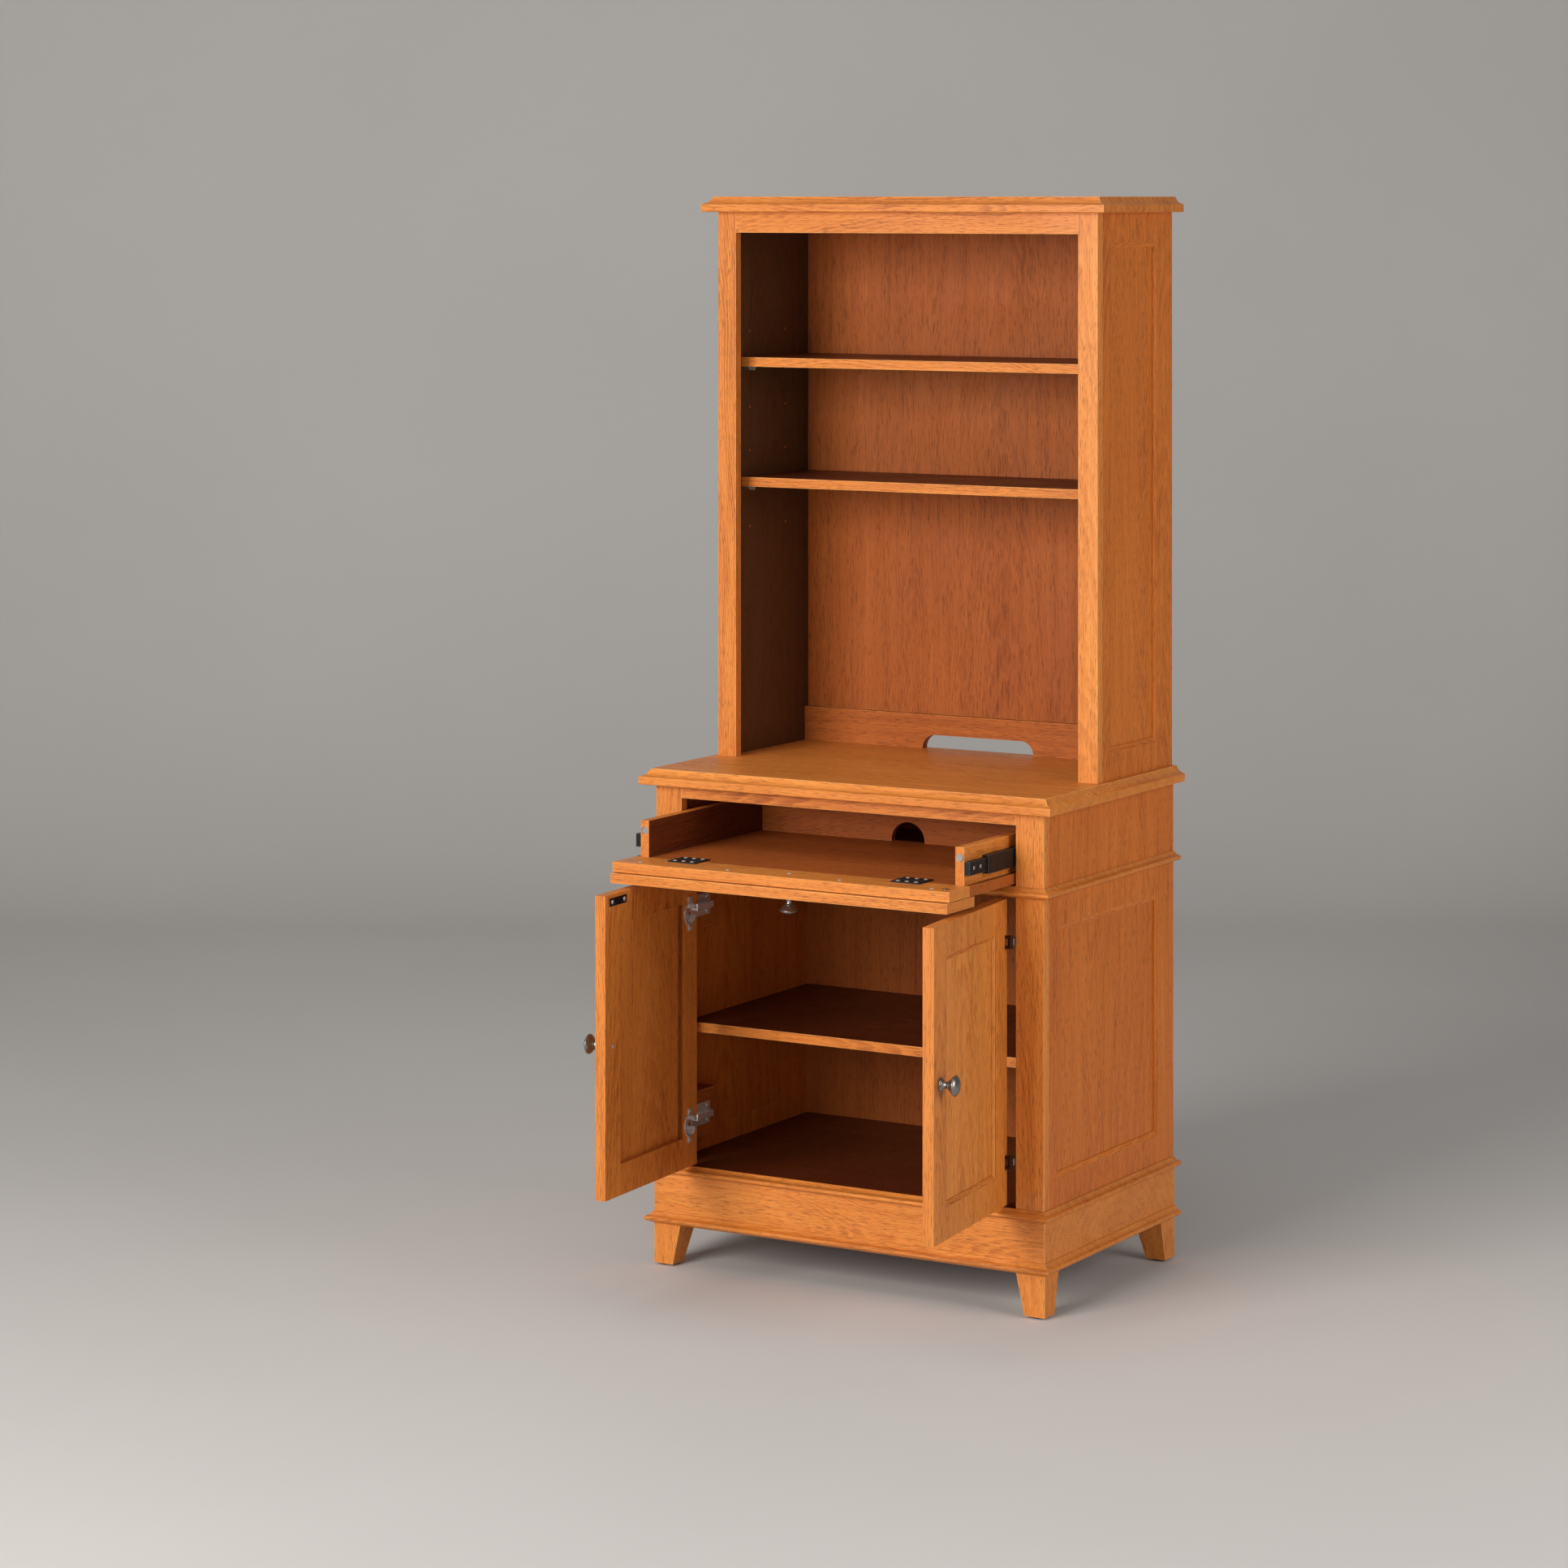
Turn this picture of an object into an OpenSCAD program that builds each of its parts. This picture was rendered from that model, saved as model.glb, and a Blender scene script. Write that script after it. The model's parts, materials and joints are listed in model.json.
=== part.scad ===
// Computer desk with a hutch, a two-door cabinet and a drop-front keyboard drawer.
// The frame: +X to the right, +Y to the back, +Z up, floor at Z = 0.
// Every piece is drawn where it stands with the doors open and the drawer pulled out.

/* [Overall size] */
// Width across the outer faces of the base cabinet
base_w = 668; // [540:1:820]
// Depth from the front of the face frame to the back of the desk
base_d = 438; // [350:1:540]
// Height of the work surface above the floor
work_h = 762; // [620:1:930]
// Height of the whole desk with its hutch
total_h = 1640; // [1340:1:1980]
// Distance from the face frame of the base back to the face frame of the hutch
hutch_setback = 179.5; // [140:0.5:220]
// How far each side of the hutch stands in from the side of the base
hutch_inset = 2; // [0:0.5:6]

/* [Boards] */
// Thickness of the sides, floor, divider, face frames and hutch rails
board_t = 16; // [13:0.5:19.5]
// Thickness of the shelves
shelf_t = 15; // [12:0.5:18]
// Thickness of the back panels
back_t = 5; // [3:0.5:6]
// Width of the stiles on the front of the base
base_stile_w = 46; // [38:1:56]
// Width of the stiles on the front of the hutch
hutch_stile_w = 32.5; // [27:0.5:39]
// Height of the rail under the work surface
base_rail_h = 19; // [15:1:23]
// Height of the rail under the crown
hutch_rail_h = 32.5; // [27:0.5:39]
// Width of the front and rear members of a panelled side
side_member_w = 42; // [34:1:50]
// Extra width of the rear member of a panelled side
rear_member_extra = 14; // [10:1:17]
// How far a side panel lies back from the face of its frame
panel_recess = 4.5; // [3:0.5:5.5]
// Width of the rebate that a panel sits in
rebate_w = 8; // [6:0.5:10]

/* [Moulded edges] */
// Thickness of the desktop and of the crown
top_t = 24; // [20:0.5:29]
// How far the desktop and the crown overhang
top_overhang = 20; // [16:0.5:24]
// How far the flat top stands in from the edge of the board
top_step_in = 14; // [11:0.5:16.5]
// Height of the plain lower edge of the desktop and the crown
top_fascia_h = 11; // [9:0.5:13]
// How far the small mouldings stand out from the cabinet
mould_out = 14; // [11:0.5:17]
// Height of the moulding at the waist
waist_h = 16.5; // [14:0.5:20]
// Height of the moulding on top of the plinth
low_mould_h = 16; // [13:0.5:19]
// Height of the moulding at the foot of the plinth
base_mould_h = 18; // [15:0.5:22]

/* [Plinth and feet] */
// Height of the feet
foot_h = 65; // [54:1:78]
// Width of a foot at its top
foot_top_w = 47; // [39:1:57]
// Width of a foot at its bottom
foot_bottom_w = 33; // [27:1:38]
// Height of the plain part of the plinth
plinth_h = 59; // [49:1:71]
// How far the plinth and the feet stand out from the cabinet
plinth_out = 2; // [1:0.5:3]
// Height of the glide under each foot
glide_h = 3; // [2:0.5:4]
// Radius of the glide under each foot
glide_r = 11; // [9:0.5:13]

/* [Doors] */
// Thickness of a door
door_t = 17; // [14:0.5:20.5]
// Width of the stiles and rails of a door
door_member_w = 46; // [38:1:55]
// Gap between the doors, and between a door and a stile
door_gap = 1.5; // [1:0.25:2]
// Gap between a door and the cabinet floor
door_floor_gap = 5; // [4:0.5:6]
// How far a door panel lies back from the front of its frame
door_recess = 4; // [3:0.5:5]
// Thickness of a door panel
door_panel_t = 5; // [4:0.5:6]
// Width of the rebate that a door panel sits in
door_rebate_w = 5; // [4:0.5:5]
// Angle that the left door stands open
left_open = 86.5; // [72:0.5:104]
// Angle that the right door stands open
right_open = 96.5; // [80:0.5:104]
// Distance of a door pivot from the hinge edge of its door
pivot_in = 3.5; // [3:0.5:4]
// Distance of a door pivot in front of the face of its door
pivot_out = 7; // [6:0.5:8]
// Distance of a hinge from the end of its door
hinge_end = 63; // [53:1:75]

/* [Door hinges] */
// Radius of the hinge pins
pin_r = 2; // [1.7:0.1:2.4]
// Running clearance round a pin
pin_clear = 0.06; // [0.03:0.01:0.1]
// Radius of the eye round a pin
eye_r = 3.8; // [3.4:0.1:4.2]
// Height of the arm that reaches from the cabinet to the pin
arm_h = 10; // [8.5:0.5:12]
// Thickness of the neck of that arm
neck_t = 4; // [3.5:0.1:4.4]
// Height of each lug on the door side
lug_h = 4; // [3.5:0.5:5]
// Gap between an arm and the lugs beside it
lug_gap = 0.4; // [0.2:0.1:0.6]
// Radius of the cup let into the door
cup_r = 17.5; // [15:0.5:19]
// Depth of the cup
cup_depth = 10; // [8:0.5:11]
// Distance of the middle of the cup from the hinge edge of its door
cup_in = 23; // [21:0.5:26]
// Height of the flange on the door
cup_plate_h = 52; // [46:1:60]
// Width of the flange on the door
cup_plate_w = 12; // [10:0.5:14]
// Thickness of the hinge plates
plate_t = 1.6; // [1.4:0.1:2]
// Clearance round the hinge inside its notch in the door
pocket_clear = 1; // [0.6:0.1:1.4]
// Height of the body of the arm off the block behind it
arm_rise = 13; // [11:0.5:15]
// Length of the plate on the cabinet
wall_plate_l = 54; // [45:1:60]
// Height of the plate on the cabinet
wall_plate_h = 34; // [28:1:40]
// Height of the block behind a hinge
hinge_block_h = 72; // [60:1:84]
// Depth of the block behind a hinge
hinge_block_d = 86; // [72:1:100]

/* [Keyboard drawer] */
// Height of the opening for the drawer
drawer_open_h = 89; // [80:1:104]
// How far the drawer pulls out
drawer_travel = 168; // [140:1:201]
// Thickness of the tray, the flap and the drop front
tray_t = 15; // [12.5:0.5:16.5]
// Gap between the tray and the board below it
tray_gap = 3; // [3:0.5:4]
// Depth of the tray from its hinge line to its back edge
tray_d = 344; // [287:1:358]
// Thickness of the drawer sides and back
drawer_side_t = 15; // [12:0.5:17]
// Height of the drawer sides
drawer_side_h = 55; // [46:1:66]
// Height of the drawer back
drawer_back_h = 40; // [36:1:48]
// Height of the flap
flap_h = 63; // [54:1:68]
// Distance that the drop front reaches below the hinge line
lip_h = 14.5; // [12:0.5:15.5]
// Gap between the flap and the drop front
seam = 1; // [0.5:0.25:1.5]
// Gap between the hinge line and the flap, and between the flap and the drawer sides
hinge_gap = 0.5; // [0.3:0.1:0.8]
// Gap between the drop front and the rail above it
front_gap = 1.5; // [1:0.5:3]
// Gap between the drop front and each stile
front_side_gap = 3; // [2:0.5:4]
// Radius of the cable hole in the drawer back
cable_r = 29; // [24:0.5:34]

/* [Drawer hardware] */
// Thickness of a complete slide
slide_t = 12.7; // [11:0.1:15]
// Distance from the hinge line back to the front of the slides, drawer shut
slide_back = 1; // [0.6:0.2:3]
// How far the middle members run out with the drawer
middle_travel = 114; // [95:1:137]
// Height of the cabinet member of a slide
slide_h = 35; // [29:0.5:40]
// Length of the slides
slide_l = 335; // [280:1:345]
// Wall of the slide members
slide_wall = 1.4; // [1.2:0.1:1.6]
// Gap at the backs of the nested slide members
slide_gap = 0.6; // [0.4:0.1:0.8]
// Height of the ball track between the nested slide members
ball_gap = 2.4; // [2:0.1:2.8]
// Height of the slide centre above the tray
slide_above = 24.5; // [22:0.5:29]
// Distance of a flap hinge from the middle of the drawer
flap_hinge_x = 190; // [160:1:200]
// Width of a flap hinge
flap_hinge_w = 48; // [40:1:58]
// Depth of each leaf of a flap hinge
flap_leaf_d = 22; // [18:1:26]
// Thickness of each leaf of a flap hinge
flap_leaf_t = 1.8; // [1.4:0.1:2.2]
// Radius of the barrel of a flap hinge
barrel_r = 3; // [2.6:0.1:3.4]
// Radius of the pin in a flap hinge
flap_pin_r = 1.3; // [1.1:0.1:1.5]
// Radius of the closing magnets and their strikes
magnet_r = 5.5; // [4.5:0.5:6.5]
// Height of the magnets above the tray
magnet_z = 40; // [34:1:46]
// Distance of the front screws from the hinge line
screw_line = 45; // [38:1:52]
// Radius of a screw head
screw_head_r = 4; // [3.2:0.1:4.8]

/* [Knobs] */
// Radius of the face of a knob
knob_r = 15; // [12.5:0.5:18]
// Length of a knob from the wood to its face
knob_l = 29; // [24:0.5:33]
// Distance of a door knob from the free edge of its door
knob_in = 24; // [20:1:29]
// Height of the drawer knob above the hinge line
drawer_knob_z = 27.5; // [23:0.5:33]

/* [Shelves] */
// Height of the inner shelf above the cabinet floor
inner_shelf_z = 193; // [161:1:231]
// Distance of the inner shelf back from the face frame
inner_shelf_back = 58; // [48:1:70]
// Drop from the crown down to the top of the upper shelf
upper_shelf_drop = 229; // [191:1:275]
// Drop from the crown down to the top of the lower shelf
lower_shelf_drop = 418; // [380:1:501]
// Radius of a shelf pin
shelf_pin_r = 2.5; // [2:0.1:3]
// Spacing of the spare shelf-pin holes
pin_pitch = 60; // [50:1:72]
// Side clearance of a shelf
shelf_clear = 1; // [0.5:0.25:1.5]

/* [Cable ways] */
// Height of the rail across the back of the hutch
back_rail_h = 54; // [45:1:65]
// Width of the cable way in that rail
cable_way_w = 198; // [165:1:237]
// Height of the cable way in that rail
cable_way_h = 22; // [18:0.5:26]
// Radius of the cable holes in the back of the base
back_hole_r = 30; // [25:1:36]
// Distance of the lower cable hole in the back from the middle
back_hole_x = 170; // [0:5:200]

/* [Hidden] */
$fn = 48;
eps = 0.01;

oak = "#c9772f";
oak_side = "#a8601f";
oak_dark = "#6e3a1a";
nickel = "#c3c4c6";
pewter = "#4c4a4a";
black_metal = "#1d1e20";

half_w = base_w/2;
open_half = half_w - base_stile_w;
plinth_half = half_w + plinth_out;
hutch_half = half_w - hutch_inset;
hutch_open_half = hutch_half - hutch_stile_w;

// Levels, from the floor up
plinth_z0 = foot_h;
low_z0 = foot_h + base_mould_h + plinth_h;
floor_z = low_z0 + low_mould_h;
desk_z0 = work_h - top_t;
rail_z0 = desk_z0 - base_rail_h;
waist_z1 = rail_z0 - drawer_open_h;
waist_z0 = waist_z1 - waist_h;
crown_z0 = total_h - top_t;

// Doors: the pivots, the leaf and the height
pivot_x = open_half - door_gap - pivot_in;
door_w = open_half - 2*door_gap;
door_z0 = floor_z + door_floor_gap;
door_top_gap = 2;
door_z1 = waist_z0 - door_top_gap;
door_reach = door_w - pivot_in;
door_back = door_t + pivot_out;
hinge_zs = [door_z0 + hinge_end, door_z1 - hinge_end];
knob_z = (door_z0 + door_z1)/2;

// Depth position of a door's two free corners when it stands open by an angle
function front_corner_y(a) = -pivot_out - door_reach*sin(a) + pivot_out*cos(a);
function back_corner_y(a) = -pivot_out - door_reach*sin(a) + door_back*cos(a);
front_y = min(front_corner_y(left_open), back_corner_y(left_open),
    front_corner_y(right_open), back_corner_y(right_open));
mid_y = (front_y + base_d)/2;

// Drawer: the hinge line of the flap, drawn pulled out
hinge_y = 2*tray_t + seam - drawer_travel;
hinge_z = waist_z1 + tray_gap + tray_t;
drawer_half = open_half - slide_t;
tray_half = open_half - front_side_gap;
front_top = rail_z0 - front_gap - hinge_z;
slide_z = hinge_z + slide_above;
slide_y = hinge_y + drawer_travel + slide_back;

// Moves a piece from the face-frame datum to the middle of the standing desk
module placed() translate([0, -mid_y, 0]) children();

// Draws the right-hand child, and its mirror image on the left when asked
module on_left() mirror([1, 0, 0]) children();
module both_sides() {
    children();
    on_left() children();
}

// A box from its low and high corners
module block(low, high) translate(low) cube(high - low);

// Points of an arc about a centre
function arc(cx, cz, r, from, to, steps=6) =
    [for (i = [0:steps]) let (a = from + (to - from)*i/steps) [cx + r*cos(a), cz + r*sin(a)]];

// Points of a curve that leaves a for b and bends towards c
function bend(a, c, b, steps=8) =
    [for (i = [0:steps]) let (t = i/steps) (1 - t)*(1 - t)*a + 2*t*(1 - t)*c + t*t*b];

// Edge of the desktop and crown: a small step, a shallow cove and a plain fascia, from the top down
function top_edge() = concat([[-top_step_in, top_t]],
    bend([-top_step_in + 0.6, top_t - 1.6], [-top_step_in*0.72, top_fascia_h + 3.2],
        [-1.4, top_fascia_h + 1.6]),
    arc(-1.4, top_fascia_h + 0.2, 1.4, 90, 0, 3),
    arc(-1.5, 1.5, 1.5, 0, -90, 3));

// Edge of the small mouldings: a long falling ogee, a rounded nose and a hollow under it
function mould_edge(h, out) = let (r = h*0.2) concat([[-out + 0.8, h]],
    bend([-out + 1.8, h - 0.6], [-out*0.62, h*0.66], [-r - 0.6, h*0.42 + r + 0.3]),
    arc(-r, h*0.42, r, 84, -60, 7),
    bend([-r - 0.4, h*0.17], [-out*0.5, h*0.14], [-out + 2, 0], 5));

function flip(points) = [for (i = [len(points) - 1:-1:0]) [-points[i][0], points[i][1]]];
function shift(points, dx) = [for (p = points) [p[0] + dx, p[1]]];

// A board with a moulded edge on its front and both ends, mitred at the corners
module moulded_board(edge, half, front, back, z) {
    ends = concat(shift(edge, half), flip(shift(edge, half)));
    side = concat([[back, edge[len(edge) - 1][1]], [back, edge[0][1]]],
        [for (p = edge) [front - p[0], p[1]]]);
    translate([0, 0, z]) intersection() {
        translate([0, back, 0]) rotate([90, 0, 0]) linear_extrude(back - front) polygon(ends);
        translate([-half, 0, 0]) rotate([90, 0, 90]) linear_extrude(2*half) polygon(side);
    }
}

// Three strips of applied moulding round the front and the two sides of a core
module mouldings(h, z, core_half, core_front) {
    out = mould_out - (core_half - half_w);
    half = core_half + out;
    front = core_front - out;
    reach = 3*out;
    strips = [
        [[-half, front], [half, front], [core_half, core_front], [-core_half, core_front]],
        [[half, front], [half, base_d], [core_half, base_d], [core_half, core_front]],
        [[-half, front], [-core_half, core_front], [-core_half, base_d], [-half, base_d]]];
    for (strip = strips) intersection() {
        moulded_board(mould_edge(h, out), half, front, base_d, z);
        translate([0, 0, z - reach]) linear_extrude(h + 2*reach) polygon(strip);
    }
}

// A framed side: a board with a window and a rebate behind it for the panel
module framed_side(half, y0, y1, z0, z1, win) {
    inner = half - board_t;
    difference() {
        block([inner, y0, z0], [half, y1, z1]);
        block([inner - eps, win[0], win[2]], [half + eps, win[1], win[3]]);
        block([inner - eps, win[0] - rebate_w, win[2] - rebate_w],
            [half - panel_recess, win[1] + rebate_w, win[3] + rebate_w]);
    }
}

// The panel that fills the rebate of a framed side
module side_panel(half, win) {
    block([half - board_t, win[0] - rebate_w, win[2] - rebate_w],
        [half - panel_recess, win[1] + rebate_w, win[3] + rebate_w]);
}

base_win = [side_member_w, base_d - side_member_w - rear_member_extra,
    floor_z + side_member_w, waist_z0 - side_member_w - 2];
hutch_win = [hutch_setback + side_member_w, base_d - side_member_w - rear_member_extra,
    work_h + side_member_w, crown_z0 - side_member_w - 4];

// ---- Base cabinet ----

module desktop() {
    color(oak) placed()
        moulded_board(top_edge(), half_w + top_overhang, -top_overhang, base_d, desk_z0);
}

module base_stile() {
    block([open_half, 0, floor_z], [half_w, board_t, desk_z0]);
}

module base_stile_left() {
    color(oak) placed() on_left() base_stile();
}

module base_stile_right() {
    color(oak) placed() base_stile();
}

module base_top_rail() {
    color(oak) placed() block([-open_half, 0, rail_z0], [open_half, board_t, desk_z0]);
}

module waist_rail() {
    color(oak) placed() block([-open_half, 0, waist_z0], [open_half, board_t, waist_z1]);
}

// A side of the base, with the pin holes for the inner shelf
module base_side() {
    framed_side(half_w, board_t, base_d, floor_z, desk_z0, base_win);
}

module side_frame_left() {
    color(oak_side) placed() on_left() base_side();
}

module side_frame_right() {
    color(oak_side) placed() base_side();
}

module side_panels() {
    color(oak_side) placed() both_sides() difference() {
        side_panel(half_w, base_win);
        for (z = inner_pin_zs, y = inner_pin_ys) pin_hole(half_w - board_t, y, z);
    }
}

module cabinet_floor() {
    color(oak_dark) placed() block([-half_w, 0, low_z0], [half_w, base_d - back_t, floor_z]);
}

module drawer_divider() {
    color(oak_dark) placed()
        block([board_t - half_w, board_t, waist_z1 - board_t], [half_w - board_t, base_d - back_t, waist_z1]);
}

// The back, with one cable hole behind the drawer and one behind the upper compartment
back_holes = [[0, waist_z1 + drawer_open_h/2], [back_hole_x, waist_z0 - 90]];
module base_back() {
    color(oak_dark) placed() difference() {
        block([board_t - half_w, base_d - back_t, low_z0], [half_w - board_t, base_d, desk_z0]);
        for (hole = back_holes) translate([hole.x, base_d + 1, hole.y]) rotate([90, 0, 0])
            cylinder(r=back_hole_r, h=back_t + 2);
    }
}

module plinth_boards() {
    top = low_z0;
    color(oak) placed() {
        block([-plinth_half, -plinth_out, plinth_z0], [plinth_half, board_t - plinth_out, top]);
        both_sides() block([plinth_half - board_t, board_t - plinth_out, plinth_z0],
            [plinth_half, base_d, top]);
        block([board_t - plinth_half, base_d - board_t, plinth_z0],
            [plinth_half - board_t, base_d, top]);
    }
}

module waist_mouldings() {
    color(oak) placed() mouldings(waist_h, waist_z0, half_w, 0);
}

module plinth_cap_mouldings() {
    color(oak) placed() mouldings(low_mould_h, low_z0, half_w, 0);
}

module base_mouldings() {
    color(oak) placed() mouldings(base_mould_h, plinth_z0, plinth_half, -plinth_out);
}

// A foot in the +X, front corner: plumb outside, tapered on its two inner faces
module foot() {
    taper = foot_top_w - foot_bottom_w;
    outline = [[0, glide_h], [foot_bottom_w, glide_h], [foot_bottom_w + taper, foot_h], [0, foot_h]];
    intersection() {
        translate([plinth_half, -plinth_out, 0]) mirror([1, 0, 0])
            translate([0, foot_top_w, 0]) rotate([90, 0, 0]) linear_extrude(foot_top_w) polygon(outline);
        translate([plinth_half - foot_top_w, -plinth_out, 0])
            rotate([90, 0, 90]) linear_extrude(foot_top_w) polygon(outline);
    }
}

// The same foot turned round for a back corner
module back_foot() {
    translate([0, base_d - plinth_out, 0]) mirror([0, 1, 0]) foot();
}

module foot_front_left() {
    color(oak) placed() on_left() foot();
}

module foot_front_right() {
    color(oak) placed() foot();
}

module foot_back_left() {
    color(oak) placed() on_left() back_foot();
}

module foot_back_right() {
    color(oak) placed() back_foot();
}

module foot_glides() {
    inset = foot_bottom_w/2;
    color(black_metal) placed() both_sides()
        for (y = [inset - plinth_out, base_d - inset]) translate([plinth_half - inset, y, 0])
            cylinder(r=glide_r, h=glide_h);
}

// ---- Shelves and shelf pins ----

inner_shelf_z0 = floor_z + inner_shelf_z;
inner_pin_zs = [for (i = [-1:1]) inner_shelf_z0 + i*pin_pitch];
inner_pin_ys = [inner_shelf_back + 40, base_win[1] - 40];
tab_t = 2;
tab_w = 9;
pin_depth = 8;

// A blind hole for a shelf pin in the inner face of the +X side
module pin_hole(face_x, y, z) {
    translate([face_x - 1, y, z - tab_t - shelf_pin_r]) rotate([0, 90, 0])
        cylinder(r=shelf_pin_r + pin_clear, h=pin_depth + 1.5);
}

// A shelf pin: a peg in the side and a flat tab under the shelf
module shelf_pin(face_x, y, z) {
    translate([face_x - tab_w, y, z - tab_t - shelf_pin_r]) rotate([0, 90, 0])
        cylinder(r=shelf_pin_r, h=pin_depth + tab_w);
    block([face_x - tab_w, y - tab_w/2, z - tab_t - shelf_pin_r/2], [face_x - eps, y + tab_w/2, z]);
}

module inner_shelf() {
    half = half_w - board_t - shelf_clear;
    color(oak) placed() block([-half, inner_shelf_back, inner_shelf_z0],
        [half, base_d - back_t - 1, inner_shelf_z0 + shelf_t]);
}

module base_shelf_pins() {
    color(nickel) placed() both_sides()
        for (y = inner_pin_ys) shelf_pin(half_w - board_t, y, inner_shelf_z0);
}

// ---- Hutch ----

hutch_inner = hutch_half - board_t;
hutch_shelf_front = hutch_setback + side_member_w;
upper_z0 = crown_z0 - upper_shelf_drop - shelf_t;
lower_z0 = crown_z0 - lower_shelf_drop - shelf_t;
hutch_pin_ys = [hutch_shelf_front + 28, base_win[1] - 22];

module crown() {
    color(oak) placed() moulded_board(top_edge(), hutch_half + top_overhang,
        hutch_setback - top_overhang, base_d, crown_z0);
}

module hutch_stiles() {
    color(oak) placed() both_sides() block([hutch_open_half, hutch_setback, work_h],
        [hutch_half, hutch_setback + board_t, crown_z0]);
}

module hutch_top_rail() {
    color(oak) placed() block([-hutch_open_half, hutch_setback, crown_z0 - hutch_rail_h],
        [hutch_open_half, hutch_setback + board_t, crown_z0]);
}

module hutch_side() {
    framed_side(hutch_half, hutch_setback + board_t, base_d, work_h, crown_z0, hutch_win);
}

module hutch_side_left() {
    color(oak_side) placed() on_left() hutch_side();
}

module hutch_side_right() {
    color(oak_side) placed() hutch_side();
}

module hutch_side_panels() {
    color(oak_side) placed() both_sides() difference() {
        side_panel(hutch_half, hutch_win);
        for (shelf_z = [upper_z0, lower_z0], i = [-1:1], y = hutch_pin_ys)
            pin_hole(hutch_inner, y, shelf_z + i*pin_pitch);
    }
}

module hutch_back() {
    color(oak_dark) placed() block([-hutch_inner, base_d - back_t, work_h + back_rail_h],
        [hutch_inner, base_d, crown_z0]);
}

// The rail across the back, notched from below for the cables
module hutch_back_rail() {
    r = cable_way_h;
    way = concat([[-cable_way_w/2, -1]], arc(r - cable_way_w/2, 0, r, 180, 90, 12),
        arc(cable_way_w/2 - r, 0, r, 90, 0, 12), [[cable_way_w/2, -1]]);
    color(oak_dark) placed() difference() {
        block([-hutch_inner, base_d - board_t, work_h], [hutch_inner, base_d, work_h + back_rail_h]);
        translate([0, base_d + 1, work_h]) rotate([90, 0, 0]) linear_extrude(board_t + 2) polygon(way);
    }
}

module hutch_shelf(z) {
    half = hutch_inner - shelf_clear;
    block([-half, hutch_shelf_front, z], [half, base_d - back_t - 1, z + shelf_t]);
}

module upper_shelf() {
    color(oak) placed() hutch_shelf(upper_z0);
}

module lower_shelf() {
    color(oak) placed() hutch_shelf(lower_z0);
}

module hutch_shelf_pins() {
    color(nickel) placed() both_sides() for (z = [upper_z0, lower_z0], y = hutch_pin_ys)
        shelf_pin(hutch_inner, y, z);
}

// ---- Doors, drawn shut on the +X side and swung about their pivots ----

// Swings the right-hand door open about its pivot
module swung_right(angle) {
    translate([pivot_x, -pivot_out, 0]) rotate([0, 0, angle]) translate([-pivot_x, pivot_out, 0])
        children();
}

module in_right_door() placed() swung_right(right_open) children();
module in_left_door() placed() on_left() swung_right(left_open) children();

door_x0 = door_gap;
door_x1 = door_gap + door_w;
notch_x = pivot_x - eye_r - pocket_clear;
notch_h = arm_h + 2*(lug_h + lug_gap) + 2*pocket_clear;
cup_x = door_x1 - cup_in;

// The frame of a door: a window, a rebate for the panel, and a bore and a notch for each hinge
module door_frame() {
    difference() {
        block([door_x0, 0, door_z0], [door_x1, door_t, door_z1]);
        block([door_x0 + door_member_w, -1, door_z0 + door_member_w],
            [door_x1 - door_member_w, door_t + 1, door_z1 - door_member_w]);
        door_panel_solid();
        for (z = hinge_zs) {
            translate([cup_x, door_t - cup_depth, z]) rotate([-90, 0, 0])
                cylinder(r=cup_r, h=cup_depth + 1);
            block([notch_x, -1, z - notch_h/2], [door_x1 + 1, door_t + 1, z + notch_h/2]);
        }
    }
}

// The flat panel held in the rebate
module door_panel_solid() {
    edge = door_member_w - door_rebate_w;
    block([door_x0 + edge, door_recess, door_z0 + edge],
        [door_x1 - edge, door_recess + door_panel_t, door_z1 - edge]);
}

// A turned mushroom knob along +Z from the wood, with its foot at Z = 0
module knob() {
    neck = knob_r*0.36;
    dome_r = (knob_r*knob_r + 49)/14;
    rotate_extrude($fn=64) polygon(concat([[0, 0], [knob_r*0.62, 0], [knob_r*0.62, 2]],
        arc(knob_r*0.62, 2 + knob_r*0.26, knob_r*0.26, 270, 180, 5),
        [[neck, knob_l*0.32], [neck, knob_l*0.48]],
        arc(neck, knob_l*0.48 + knob_r*0.3, knob_r*0.3, 270, 340, 5),
        [[knob_r, knob_l - 7], [knob_r, knob_l - 6]],
        arc(0, knob_l - dome_r, dome_r, asin((dome_r - 6.2)/dome_r), 90, 8)));
}

module door_knob() {
    translate([door_x0 + knob_in, 0, knob_z]) rotate([90, 0, 0]) knob();
}

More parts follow.
